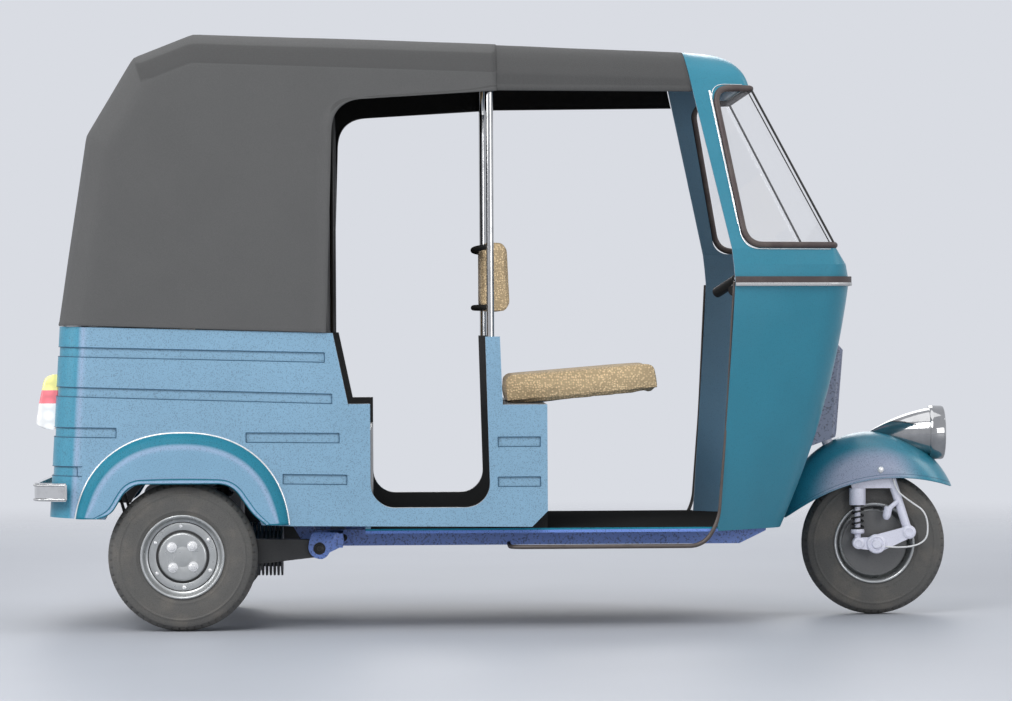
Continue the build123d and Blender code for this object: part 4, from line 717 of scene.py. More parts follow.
def cloth_piece(name, rows, lift, cloth, replaced):
    """Sheet of hood cloth with a dark lining, in place of its CAD node."""
    rows = puff_rows(rows, cloth_move(len(rows[0]), lift))
    shape = Shape()
    shape.grid([row[::-1] for row in rows])
    piece = shape.build(name, (cloth, "lining_cloth"), "body", sharp=75, tidy=False)
    thick = piece.modifiers.new("cloth", "SOLIDIFY")
    thick.thickness = sizes().hood_cloth
    thick.offset = -1
    thick.material_offset = 1
    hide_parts(replaced)
    return piece


class RICKSHAW_OT_hood(bpy.types.Operator):
    """Stretches the hood and the driver's roof over the bows"""

    bl_idname = "rickshaw.hood"
    bl_label = "Hood and driver's roof"

    def execute(self, context):
        hem = sizes().hem_width
        top, front = HOOD_PROFILE[-1], ROOF_FRONT
        split = top.lerp(front, (ROOF_SPLIT_X + HOOD_LAP - top.x) / (front.x - top.x))
        crest = HOOD_PROFILE + [split]
        bevel = inset_path(crest, BEVEL_INSETS)
        bevel[0] = bevel[0] + (bevel[1] - bevel[0]) * ((HOOD_FOOT.z - bevel[0].z) / (bevel[1].z - bevel[0].z))
        bevel[-1] = Vector((split.x, 0, bevel[-1].z))
        edge = rounded(DOOR_EDGE, 0.085, 12)

        def shares_of(path):
            runs = [(b - a).length for a, b in zip(path, path[1:])]
            return [sum(runs[:k]) / sum(runs) for k in range(len(path))]

        crest_marks, bevel_marks = shares_of(crest), shares_of(bevel)
        edge_marks = [0.0, 0.46, 0.62, 0.72, 1.0]
        shares = []
        for k, steps in enumerate((36, 18, 13, 52)):
            first = [0.0, 0.0028, 0.027] if k == 0 else []
            ts = first + [(n if k or n else 0.03 * steps) / steps for n in range(0 if k else 1, steps)]
            for t in ts + ([1.0] if k == 3 else []):
                shares.append(tuple(m[k] + (m[k + 1] - m[k]) * t
                                    for m in (crest_marks, bevel_marks, edge_marks)))
        rows = smooth_rows(cloth_grid(crest, bevel, edge, shares, 24, hem), 1)
        cloth_piece("hood_canvas", rows, 0.0022, "hood_cloth", "hood")

        lap = (split - top).normalized() * ROOF_TUCK
        crest = [split - lap, front]
        bevel = [bevel[-1] - lap, ROOF_BEVEL_END]
        edge = [Vector(DOOR_EDGE[-1]) - lap * 0.9, ROOF_HEAD_END]
        shares = [(t, t, t) for t in [0, 0.003, 0.026] + [0.03 + 0.97 * k / 38 for k in range(39)]]
        rows = smooth_rows(cloth_grid(crest, bevel, edge, shares, 8, hem), 2)
        cloth_piece("driver_roof_canvas", rows, 0.0, "roof_cloth", "driver_roof")
        return {"FINISHED"}


def soft_copy(node, name, voxel):
    """Copy of a CAD cushion as an even skin of small faces."""
    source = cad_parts[node]
    piece = bpy.data.objects.new(name, source.data.copy())
    bpy.context.scene.collection.objects.link(piece)
    remesh = piece.modifiers.new("skin", "REMESH")
    remesh.mode = "VOXEL"
    remesh.voxel_size = voxel
    shrink = piece.modifiers.new("shrink", "DISPLACE")
    shrink.mid_level = 0.0
    shrink.strength = -0.6 * sizes().seat_swell
    ease = piece.modifiers.new("ease", "SMOOTH")
    ease.iterations = 3
    ease.factor = 0.5
    bake_modifiers(piece)
    return piece


def bake_modifiers(piece):
    """Turns a piece's modifiers into its own mesh."""
    view = bpy.context.evaluated_depsgraph_get()
    mesh = bpy.data.meshes.new_from_object(piece.evaluated_get(view))
    piece.modifiers.clear()
    piece.data = mesh


# Length of the cushions' cloth run
SWELL_FRAMES = 20


def swell(piece, limit):
    """Fills a cushion like a cover over foam, and caps how far it moves."""
    rest = [v.co.copy() for v in piece.data.vertices]
    cloth = piece.modifiers.new("cover", "CLOTH")
    cloth.settings.use_pressure = True
    cloth.settings.uniform_pressure_force = 4.0
    cloth.settings.tension_stiffness = 25
    cloth.settings.compression_stiffness = 25
    cloth.settings.bending_stiffness = 2.0
    cloth.settings.effector_weights.gravity = 0.0
    cloth.point_cache.frame_start = 1
    cloth.point_cache.frame_end = SWELL_FRAMES
    scene = bpy.context.scene
    for moment in range(1, SWELL_FRAMES + 1):
        scene.frame_set(moment)
    bake_modifiers(piece)
    scene.frame_set(1)
    for v, home in zip(piece.data.vertices, rest):
        move = v.co - home
        if move.length > limit:
            v.co = home + move * (limit / move.length)


class RICKSHAW_OT_seats(bpy.types.Operator):
    """Covers the four cushions"""

    bl_idname = "rickshaw.seats"
    bl_label = "Seat cushions"

    def execute(self, context):
        rows = (("driver_seat", 0.0055), ("driver_backrest", 0.0055), ("passenger_seat", 0.009),
                ("passenger_backrest", 0.009))
        for node, voxel in rows:
            piece = soft_copy(node, node + "_cover", voxel)
            if node == "driver_seat":
                self.square_nose(piece)
            swell(piece, sizes().seat_swell)
            round_off = piece.modifiers.new("round", "SMOOTH")
            round_off.iterations = 4
            round_off.factor = 0.5
            piece.data.shade_smooth()
            place(piece, "seat_cloth", "body", node)
        return {"FINISHED"}

    def square_nose(self, piece):
        """Brings the top of the driver's cushion forward over its slanting nose."""
        front = max(v.co.x for v in piece.data.vertices)
        low = min(v.co.z for v in piece.data.vertices)
        high = max(v.co.z for v in piece.data.vertices)
        for v in piece.data.vertices:
            near = min(max((v.co.x - front + 0.11) / 0.09, 0.0), 1.0)
            v.co.x += sizes().seat_nose * near * (v.co.z - low) / (high - low)
            v.co.z -= sizes().seat_sink


class RICKSHAW_OT_tyres(bpy.types.Operator):
    """Moulds the tyres with their tread"""

    bl_idname = "rickshaw.tyres"
    bl_label = "Tyres"

    def execute(self, context):
        blocks, depth = sizes().tread_blocks, sizes().tread_depth
        wall = [(0.1122, 0.043), (0.117, 0.0455), (0.1205, 0.0462), (0.124, 0.0475), (0.1275, 0.049),
                (0.1285, 0.0497), (0.1315, 0.0499), (0.133, 0.0494), (0.14, 0.0503), (0.15, 0.0508),
                (0.16, 0.0508), (0.17, 0.0504), (0.1745, 0.05), (0.1755, 0.0509), (0.178, 0.0508),
                (0.179, 0.0496), (0.184, 0.0487), (0.189, 0.0474), (0.1935, 0.0458), (0.197, 0.0438)]
        crown = []
        steps = 30
        for k in range(steps + 1):
            y = CROWN_HALF - 2 * CROWN_HALF * k / steps
            crown.append((TYRE_RADIUS - 0.0125 * (abs(y) / CROWN_HALF) ** 2.4, y))
        profile = wall + crown + [(r, -y) for r, y in reversed(wall)]

        def tread(radius, height, angle):
            across = abs(height)
            if radius < 0.195 or across > 0.0435:
                return radius
            wave = 0.0025 * math.asin(math.sin(blocks / 2 * angle)) / 1.5708
            if abs(across - 0.0125 - wave) < 0.0022:
                return radius - depth
            shift = 0.8 if height > 0 else 0
            if across > 0.0265 + wave and abs(math.sin(blocks / 2 * angle + shift)) < 0.3:
                return radius - depth * 0.8
            return radius

        rows = (("rear_tyre_right", "rear_wheel_right", -REAR_TRACK, REAR_AXLE),
                ("rear_tyre_left", "rear_wheel_left", REAR_TRACK, REAR_AXLE),
                ("front_tyre", "front_wheel", 0.0, FRONT_AXLE))
        for node, body, y, axle in rows:
            shape = Shape()
            shape.lathe(profile, axle + Vector((0, y, 0)), (0, 1, 0), 360, wobble=tread)
            shape.build(node + "_tread", "tyre_rubber", body, sharp=50, replaced=node)
        return {"FINISHED"}


class RICKSHAW_OT_wheels(bpy.types.Operator):
    """Presses the wheels and adds their nuts and rivets"""

    bl_idname = "rickshaw.wheels"
    bl_label = "Wheels"

    def execute(self, context):
        face = [(0.1116, 0.046), (0.1179, 0.0463), (0.1186, 0.0485), (0.1178, 0.0508), (0.1155, 0.0518),
                (0.1125, 0.0508), (0.1105, 0.048), (0.1092, 0.043), (0.108, 0.037), (0.106, 0.0315),
                (0.103, 0.028), (0.0995, 0.0265), (0.0982, 0.0262), (0.0978, 0.0225), (0.0958, 0.0225),
                (0.0954, 0.0262), (0.094, 0.0268), (0.085, 0.0272), (0.078, 0.0268), (0.0752, 0.026),
                (0.0745, 0.0195), (0.0688, 0.0195), (0.0682, 0.028), (0.0672, 0.0315), (0.065, 0.0335),
                (0.061, 0.034), (0.03, 0.034), (0.0285, 0.0335), (0.027, 0.034), (0.0, 0.0344)]
        back = [(0.0265, -0.036), (0.084, -0.034), (0.0872, -0.032), (0.0882, -0.029), (0.0882, 0.004),
                (0.096, 0.008), (0.102, 0.006), (0.1052, -0.002), (0.1062, -0.02), (0.1078, -0.042),
                (0.109, -0.0475), (0.112, -0.0508), (0.1155, -0.0518), (0.1178, -0.0508), (0.1186, -0.0485),
                (0.1179, -0.0463), (0.1116, -0.046)]
        shaft = [(0.0, -0.391), (0.0145, -0.391), (0.0153, -0.389), (0.0153, -0.062), (0.0265, -0.058)]
        hollow = [(0.0, -0.001), (0.0153, -0.001), (0.0153, -0.036)]
        rows = (("rear_wheel_right", -REAR_TRACK, REAR_AXLE, -1, shaft),
                ("rear_wheel_left", REAR_TRACK, REAR_AXLE, 1, shaft),
                ("front_wheel", 0.0, FRONT_AXLE, 1, hollow))
        for node, y, axle, out, inner in rows:
            hub, spin = axle + Vector((0, y, 0)), (0, out, 0)
            shape = Shape()
            shape.lathe(inner + back + face, hub, spin, 96)
            shape.build(node + "_pressing", "rim_paint", node, sharp=55, replaced=node)
            # Black rings in the rim's two grooves: painted shade in the recesses.
            groove_shade_rings = Shape()
            groove_shade_rings.lathe([(0.0688, 0.0193), (0.0745, 0.0193), (0.0745, 0.0256), (0.0688, 0.0266)], hub,
                         spin, 96)
            groove_shade_rings.lathe([(0.0957, 0.0223), (0.0979, 0.0223), (0.0979, 0.0258), (0.0957, 0.0258)], hub,
                         spin, 96)
            groove_shade_rings.build(node + "_groove_paint", "spring_black", node)
            fixings = Shape()
            for k in range(4):
                angle = math.radians(45 + 90 * k + 3)
                spot = hub + Vector((0.0405 * math.cos(angle), out * 0.034, 0.0405 * math.sin(angle)))
                fixings.nut(spot, spin, sizes().wheel_nut, 0.009)
            for k in range(6):
                angle = math.radians(33 + 60 * k)
                spot = hub + Vector((0.0862 * math.cos(angle), out * 0.027, 0.0862 * math.sin(angle)))
                fixings.lathe([(0.0056, -0.001), (0.0056, 0.0008), (0.0044, 0.0022), (0.0022, 0.003),
                               (0, 0.0032)], spot, spin, 16)
            fixings.build(node + "_nuts", "nut_steel", node)
        return {"FINISHED"}


# Rear fender in side view, about the axle
FENDER_CENTRE = Vector((-0.908, 0, 0.256))
FENDER_RADIUS = 0.3015
FENDER_POWER = 2 / 2.25
FENDER_DEPTH = 0.03
BODY_HALF = 0.62


class RICKSHAW_OT_fenders(bpy.types.Operator):
    """Presses the rear fenders with round shoulders, a rolled edge and a bright bead"""

    bl_idname = "rickshaw.fenders"
    bl_label = "Rear fenders"

    def execute(self, context):
        start, end = math.radians(180 - 9.9), math.radians(6.4)
        arc = []
        for k in range(97):
            angle = start + (end - start) * k / 96
            c, n = math.cos(angle), math.sin(angle)
            flat_c = math.copysign(abs(c) ** FENDER_POWER, c)
            arc.append(FENDER_CENTRE + FENDER_RADIUS * Vector((flat_c, 0, n**FENDER_POWER)))
        x = FENDER_CENTRE.x
        opening = rounded([(x - 0.236, 0, 0.3185), (x - 0.196, 0, 0.331), (x - 0.1465, 0, 0.4147),
                           (x + 0.139, 0, 0.4147), (x + 0.2, 0, 0.327), (x + 0.236, 0, 0.299)], 0.04, 10)
        whole = Shape()
        beads = Shape()
        for side in SIDES:
            rows = []
            for k in range(97):
                outer, inner = arc[k], along(opening, k / 96)
                reach = (outer - inner).length
                shoulder = min(sizes().fender_shoulder, reach * 0.6)
                row = []
                marks = [shoulder * (1 - math.cos(math.pi / 2 * n / 12)) for n in range(13)]
                marks += [shoulder + (reach - 0.014 - shoulder) * (n + 1) / 8 for n in range(8)]
                marks += [reach - 0.012, reach - 0.0105, reach - 0.009, reach - 0.003, reach]
                for d in marks:
                    rise = math.sqrt(max(0.0, 1 - (1 - min(d / shoulder, 1)) ** 2))
                    depth = FENDER_DEPTH * rise - 0.0005
                    if reach - 0.0121 <= d <= reach - 0.0089:
                        depth -= 0.0016
                    if d == reach:
                        depth -= 0.004
                    p = outer.lerp(inner, d / reach)
                    row.append(Vector((p.x, side * (BODY_HALF + depth), p.z)))
                row.append(row[-1] + Vector((0, -side * 0.012, 0)))
                rows.append(row)
            whole.grid(rows if side < 0 else [row[::-1] for row in rows])
            beads.tube([Vector((p.x, side * (BODY_HALF + 0.0015), p.z)) for p in arc], sizes().fender_bead,
                       10)
        piece = whole.build("rear_fender_skins", "fender_paint", "body", sharp=60, tidy=False)
        thick = piece.modifiers.new("sheet", "SOLIDIFY")
        thick.thickness = 0.0025
        thick.offset = -1
        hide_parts("rear_fenders")
        beads.build("fender_beads", "nut_steel", "body")
        return {"FINISHED"}


def coil(shape, x, y, low, high, radius, wire, turns, mark=0):
    """Spring wound about an upright axis, with closed ends."""
    path = []
    steps = int(turns * 20)
    for k in range(steps + 1):
        share = k / steps
        wound = min(max((share * turns - 0.75) / (turns - 1.5), 0), 1)
        angle = 2 * math.pi * turns * share
        z = low + wire + (high - low - 2 * wire) * wound
        path.append((x + radius * math.cos(angle), y + radius * math.sin(angle), z))
    shape.tube(path, wire, 8, mark=mark)


class RICKSHAW_OT_springs(bpy.types.Operator):
    """Winds the springs round their dampers"""

    bl_idname = "rickshaw.springs"
    bl_label = "Springs and dampers"

    def execute(self, context):
        shape = Shape()
        wire = sizes().spring_wire
        for side in SIDES:
            at = (-0.8, side * 0.46, 0)
            shape.lathe([(0, 0.238), (0.026, 0.238), (0.026, 0.262), (0.034, 0.266), (0.036, 0.27),
                         (0.034, 0.275), (0.018, 0.277), (0.018, 0.42), (0.0165, 0.424), (0.009, 0.425),
                         (0.009, 0.519), (0.034, 0.521), (0.036, 0.526), (0.036, 0.5445), (0, 0.545)], at,
                        (0, 0, 1), 32)
            coil(shape, at[0], at[1], 0.275, 0.521, 0.0265, wire, 9)
        shape.build("rear_spring_units", "spring_black", "body", replaced="rear_shocks")

        front = Shape()
        x, y = 1.04, -0.08
        front.lathe([(0, 0.372), (0.0235, 0.372), (0.024, 0.37), (0.024, 0.3245), (0.0228, 0.323),
                     (0.019, 0.323), (0.019, 0.33), (0, 0.33)], (x, y, 0), (0, 0, 1), 40)
        front.lathe([(0, 0.212), (0.009, 0.212), (0.0095, 0.238), (0.018, 0.24), (0.02, 0.243), (0.02, 0.249),
                     (0.018, 0.252), (0.0085, 0.253), (0.0085, 0.331), (0, 0.331)], (x, y, 0), (0, 0, 1), 32)
        front.lathe([(0, -0.01), (0.0155, -0.01), (0.0165, -0.008), (0.0165, 0.02), (0.0155, 0.022),
                     (0, 0.022)], (x, -0.0875, 0.212), (0, 1, 0), 32)
        coil(front, x, y, 0.252, 0.324, 0.0165, 0.0028, 5.5, mark=1)
        front.build("front_spring_unit", ("fork_paint", "spring_black"), "steering",
                    replaced="front_shock")
        return {"FINISHED"}


# Cab sections: height, rear edge x, half width there, front x, half width of the front, corner radius
CAB_BELT = (0.975, 0.646, 0.64, 0.985, 0.487, 0.12)
CAB_GLASS = (1.066, 0.637, 0.637, 0.945, 0.49, 0.022)
CAB_HEADER = (1.536, 0.531, 0.521, 0.699, 0.443, 0.022)


def cab_section(low, high, z):
    """Cab section at a height on the straight run between two sections."""
    share = (z - low[0]) / (high[0] - low[0])
    return tuple(a + share * (b - a) for a, b in zip(low, high))


def cab_plan(section, proud, z):
    """Plan line round the cab from its right rear edge to its left, proud of the panel."""
    _, rear_x, rear_w, front_x, front_w, corner = section
    slope = (front_w - rear_w) / (front_x - rear_x)
    out = proud * math.sqrt(1 + slope**2)
    tip_x = front_x + proud
    tip_w = rear_w + slope * (tip_x - rear_x) + out
    right = [(rear_x, -rear_w - out, z), (tip_x, -tip_w, z), (tip_x, tip_w, z), (rear_x, rear_w + out, z)]
    return rounded(right, corner * 0.72, 14)


def cab_side(x, z, side, proud):
    """Point on the flank of the glazed part of the cab."""
    _, rear_x, rear_w, front_x, front_w, _ = cab_section(CAB_GLASS, CAB_HEADER, z)
    y = rear_w + (front_w - rear_w) * (x - rear_x) / (front_x - rear_x)
    return Vector((x, side * (y + proud), z))


class RICKSHAW_OT_trim(bpy.types.Operator):
    """Fits the windscreen's gasket, its slim corner bars, the cab's bright belt strip and bright strips of
    painted highlight along the gasket
    """

    bl_idname = "rickshaw.trim"
    bl_label = "Windscreen gasket and bright trim"

    def execute(self, context):
        self.gasket()
        strip = Shape()
        high, low, thick = 0.9715, 0.9605, 0.009
        section = [(0.0, low), (thick, low + 0.001), (thick + 0.001, (low + high) / 2),
                   (thick, high - 0.001), (0.006, high)]
        lines = [cab_plan(CAB_BELT, proud, z) for proud, z in section]
        strip.grid([list(row) for row in zip(*lines)])
        strip.build("belt_strip", "strip_steel", "body", sharp=60)

        # Bright strips along the gasket's edge, the rear one widening upward: painted highlight.
        highlight_strips = Shape()
        for side in SIDES:
            low_z, high_z = 1.0655, 1.5345
            corner_low = cab_section(CAB_GLASS, CAB_HEADER, low_z)
            corner_high = cab_section(CAB_GLASS, CAB_HEADER, high_z)
            flat = rounded([(corner_low[3] - 0.02, 0, low_z), (0.6705, 0, low_z), (0.583, 0, high_z),
                            (corner_high[3] - 0.02, 0, high_z)], 0.05, 12)
            highlight_strips.tube([cab_side(p.x, p.z, side, 0.0015) for p in flat], 0.001, 8)
            upright = [Vector((0.6565, 0, 1.135)).lerp(Vector((0.5855, 0, 1.515)), k / 12) for k in range(13)]
            widths = [0.0012 + 0.0022 * k / 12 for k in range(13)]
            highlight_strips.tube([cab_side(p.x - 0.001, p.z, side, 0.002) for p in upright], widths, 8)
        highlight_strips.build("gasket_inserts", "nut_steel", "body")
        return {"FINISHED"}

    def gasket(self):
        """Round rubber all along the edge of the windscreen, and a thin bar up each corner of it."""
        low_z, high_z, proud = 1.0765, 1.5235, -0.001
        low, high = cab_section(CAB_GLASS, CAB_HEADER, low_z), cab_section(CAB_GLASS, CAB_HEADER, high_z)
        right, left = ([cab_side(low[3], low_z, side, proud), cab_side(0.679, low_z, side, proud),
                        cab_side(0.5955, high_z, side, proud), cab_side(high[3], high_z, side, proud)]
                       for side in SIDES)
        joint = Vector((low[3], 0, low_z))
        reaches = [0.02, 0.055, 0.055, 0.02]
        rubber_ring = Shape()
        rubber_ring.tube(rounded([joint, *right, *left[::-1], joint], reaches + reaches, 10),
                         sizes().gasket, 12)
        for corners in (right, left):
            rubber_ring.tube([corners[0], corners[3]], 0.0033, 10, mark=1)
        near = [right[0].lerp(right[1], 0.045), right[3].lerp(right[2], 0.12)]
        rubber_ring.tube(near, 0.0017, 8, mark=1)
        rubber_ring.build("windscreen_rubber", ("gasket_rubber", "grip_rubber"), "body",
                          replaced="windscreen_gasket")


# Tail lamp outline: height, how far it stands out behind the tub
LENS_OUTLINE = ((0.567, 0.012), (0.5695, 0.032), (0.579, 0.053), (0.586, 0.0562), (0.641, 0.0515),
                (0.678, 0.0455), (0.7, 0.0425), (0.71, 0.039), (0.718, 0.03), (0.723, 0.016))
# Tail lenses: node, lower and upper height, finish, slot
LENS_ROWS = (("tail_lens_white", 0.567, 0.641, "white_lens", "lens_white"),
             ("tail_lens_red", 0.641, 0.678, "red_lens", "lens_red"),
             ("tail_lens_amber", 0.678, 0.723, "amber_lens", "lens_amber"))


def tub_back(z):
    """Rear face of the tub at a height."""
    return -1.283 + (z - 0.323) * 0.0559


def lens_depth(z):
    """How far the tail lamp stands out at a height."""
    for (low, near), (high, far) in zip(LENS_OUTLINE, LENS_OUTLINE[1:]):
        if low <= z <= high:
            return near + (far - near) * (z - low) / (high - low)
    return LENS_OUTLINE[-1][1]


class RICKSHAW_OT_tail(bpy.types.Operator):
    """Moulds the tail lamps, rolls the bumper's edges and hangs the muffler"""

    bl_idname = "rickshaw.tail"
    bl_label = "Tail lamps, bumper edges and muffler"

    def execute(self, context):
        for node, low, high, paint_name, slot in LENS_ROWS:
            shape = Shape()
            heights = [low + 0.0003, *[z for z, _ in LENS_OUTLINE if low < z < high], high - 0.0003]
            for side in SIDES:
                rows = []
                for z in heights:
                    x, deep = tub_back(z) + 0.002, lens_depth(z)
                    y, half = side * 0.48, 0.042
                    corners = [(x, y - half, z), (x - deep, y - half, z), (x - deep, y + half, z),
                               (x, y + half, z)]
                    rows.append(rounded(corners, min(0.014, deep * 0.6), 6))
                shape.grid(rows)
                for row in (rows[0], rows[-1]):
                    shape.add(row, [range(len(row))])
            shape.build(node + "_mould", paint_name, "body", replaced=node)

        lips = Shape()
        for z in (0.3735, 0.4135):
            plan = [(-1.23, -0.641, z), (-1.322, -0.641, z), (-1.322, 0.641, z), (-1.23, 0.641, z)]
            lips.tube(rounded(plan, 0.11, 16), 0.003, 10)
        for side in SIDES:
            lips.tube([(-1.231, side * 0.6405, 0.3725), (-1.231, side * 0.6405, 0.4145)], 0.0042, 10)
        lips.build("bumper_lips", "strip_steel", "body")

        drum = Shape()
        hub = Vector((-1.082, 0, 0.262))
        end = [(0, 0.21), (0.018, 0.21), (0.028, 0.2075), (0.0322, 0.202), (0.0362, 0.2015), (0.0368, 0.1985),
               (0.0362, 0.1955), (0.0338, 0.195)]
        band = [(0.0338, 0.1335), (0.0358, 0.133), (0.0358, 0.107), (0.0338, 0.1065)]
        half = end + band
        drum.lathe(half + [(r, -h) for r, h in reversed(half)], hub, (0, 1, 0), 48)
        drum.tube([(-1.04, 0.07, 0.262), hub + Vector((0, 0.07, 0))], 0.0158, 24)
        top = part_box("muffler")[1][2]
        for side in SIDES:
            y = side * 0.12
            foot, head = Vector((-1.09, y, 0.285)), Vector((-1.15, y, top))
            corners = ((-0.004, -0.012), (-0.004, 0.012), (0.004, 0.012), (0.004, -0.012))
            drum.grid([[spot + Vector((x, w, 0)) for x, w in corners] for spot in (foot, head)], ring=True,
                      mark=1)
        drum.build("muffler_drum", ("exhaust_steel", "dark_steel"), "body",
                   replaced="muffler")
        return {"FINISHED"}


# Pressed ribs of the sides: rear end x (none where it runs round the tail), front end x, height at RIB_TAIL_X
# or at the rear end, height at the front end
RIB_ROWS = ((None, -0.507, 0.791, 0.767), (None, -0.487, 0.68, 0.651), (None, -1.091, 0.564, 0.559),
            (-0.728, -0.467, 0.544, 0.541), (None, -1.2, 0.454, 0.452), (-0.625, -0.446, 0.427, 0.424),
            (-0.022, 0.097, 0.528, 0.528), (-0.022, 0.097, 0.416, 0.416))
RIB_TAIL_X = -1.4
RIB_HALF = 0.0135
TUB_CORNER = 0.09


class RICKSHAW_OT_pressings(bpy.types.Operator):
    """Draws thin dark lines of painted shade along the pressed ribs' edges and runs the thin tubes along the
    cowl and the doorway's foot
    """

    bl_idname = "rickshaw.pressings"
    bl_label = "Rib lines and edge tubes"

    def execute(self, context):
        lines = Shape()
        thin = sizes().rib_line
        for side in SIDES:
            for rear_x, front_x, rear_z, front_z in RIB_ROWS:
                start_x = RIB_TAIL_X if rear_x is None else rear_x
                run = front_x - start_x
                ends = []
                for rise in (-RIB_HALF, RIB_HALF):
                    level = lambda x: front_z + rise + (rear_z - front_z) * (front_x - x) / run
                    path = [Vector((front_x, side * BODY_HALF, level(front_x)))]
                    if rear_x is None:
                        tail = tub_back(level(-1.25)) + TUB_CORNER
                        for k in range(9):
                            a = math.pi / 2 * k / 8
                            x = tail - TUB_CORNER * math.sin(a)
                            path.append(Vector((x, side * (BODY_HALF - TUB_CORNER * (1 - math.cos(a))),
                                                level(x))))
                        path.append(Vector((path[-1].x, side * 0.432, path[-1].z)))
                    else:
                        path.append(Vector((rear_x, side * BODY_HALF, level(rear_x))))
                    lines.tube(path, thin, 6)
                    ends.append((path[0], path[-1]))
                lines.tube([ends[0][0], ends[1][0]], thin, 6)
                if rear_x is not None:
                    lines.tube([ends[0][1], ends[1][1]], thin, 6)
        lines.build("rib_lines", "rib_line_paint", "body")

        tubes = Shape()
        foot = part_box("edge_tubes")[0][2] + 0.006
        for side in SIDES:
            path = rounded([(0.6425, side * 0.6335, 0.974), (0.6215, side * 0.6085, 0.6),
                            (0.5985, side * 0.592, 0.3), (0.555, side * 0.592, foot),
                            (0.012, side * 0.592, foot), (0.012, side * 0.37, foot)], 0.05, 10)
            tubes.tube(path, [0.0032 if p.z > 0.4 else 0.0062 - 0.003 * max(0.0, (p.z - 0.25) / 0.15)
                              for p in path], 12)
        tubes.build("edge_rods", "edge_steel", "body", replaced="edge_tubes")
        return {"FINISHED"}


# Brake cable: control points near the route in the source
CABLE_ROUTE = ((1.138, -0.0968, 0.425), (1.147, -0.0968, 0.37), (1.184, -0.1165, 0.338),
               (1.246, -0.1165, 0.297), (1.236, -0.1145, 0.187), (1.1, -0.1125, 0.204))


class RICKSHAW_OT_cable(bpy.types.Operator):
    """Lays the brake cable from the fork round to the back plate"""

    bl_idname = "rickshaw.cable"
    bl_label = "Brake cable"

    def execute(self, context):
        curve = bpy.data.curves.new("brake_cable_run", "CURVE")
        curve.dimensions = "3D"
        curve.bevel_depth = sizes().cable / 2
        curve.bevel_resolution = 4
        curve.resolution_u = 16
        curve.use_fill_caps = True
        spline = curve.splines.new("NURBS")
        spline.points.add(len(CABLE_ROUTE) - 1)
        for point, spot in zip(spline.points, CABLE_ROUTE):
            point.co = (*spot, 1.0)
        spline.order_u = 3
        spline.use_endpoint_u = True
        piece = bpy.data.objects.new("brake_cable_run", curve)
        place(piece, "cable_sleeve", "steering", "brake_cable")
        return {"FINISHED"}


# Middle of the front mudguard's round, and of the headlamp's rim
MUDGUARD_CENTRE = Vector((1.0849, 0, 0.277))
LAMP_RIM = (1.268, 0, 0.532)


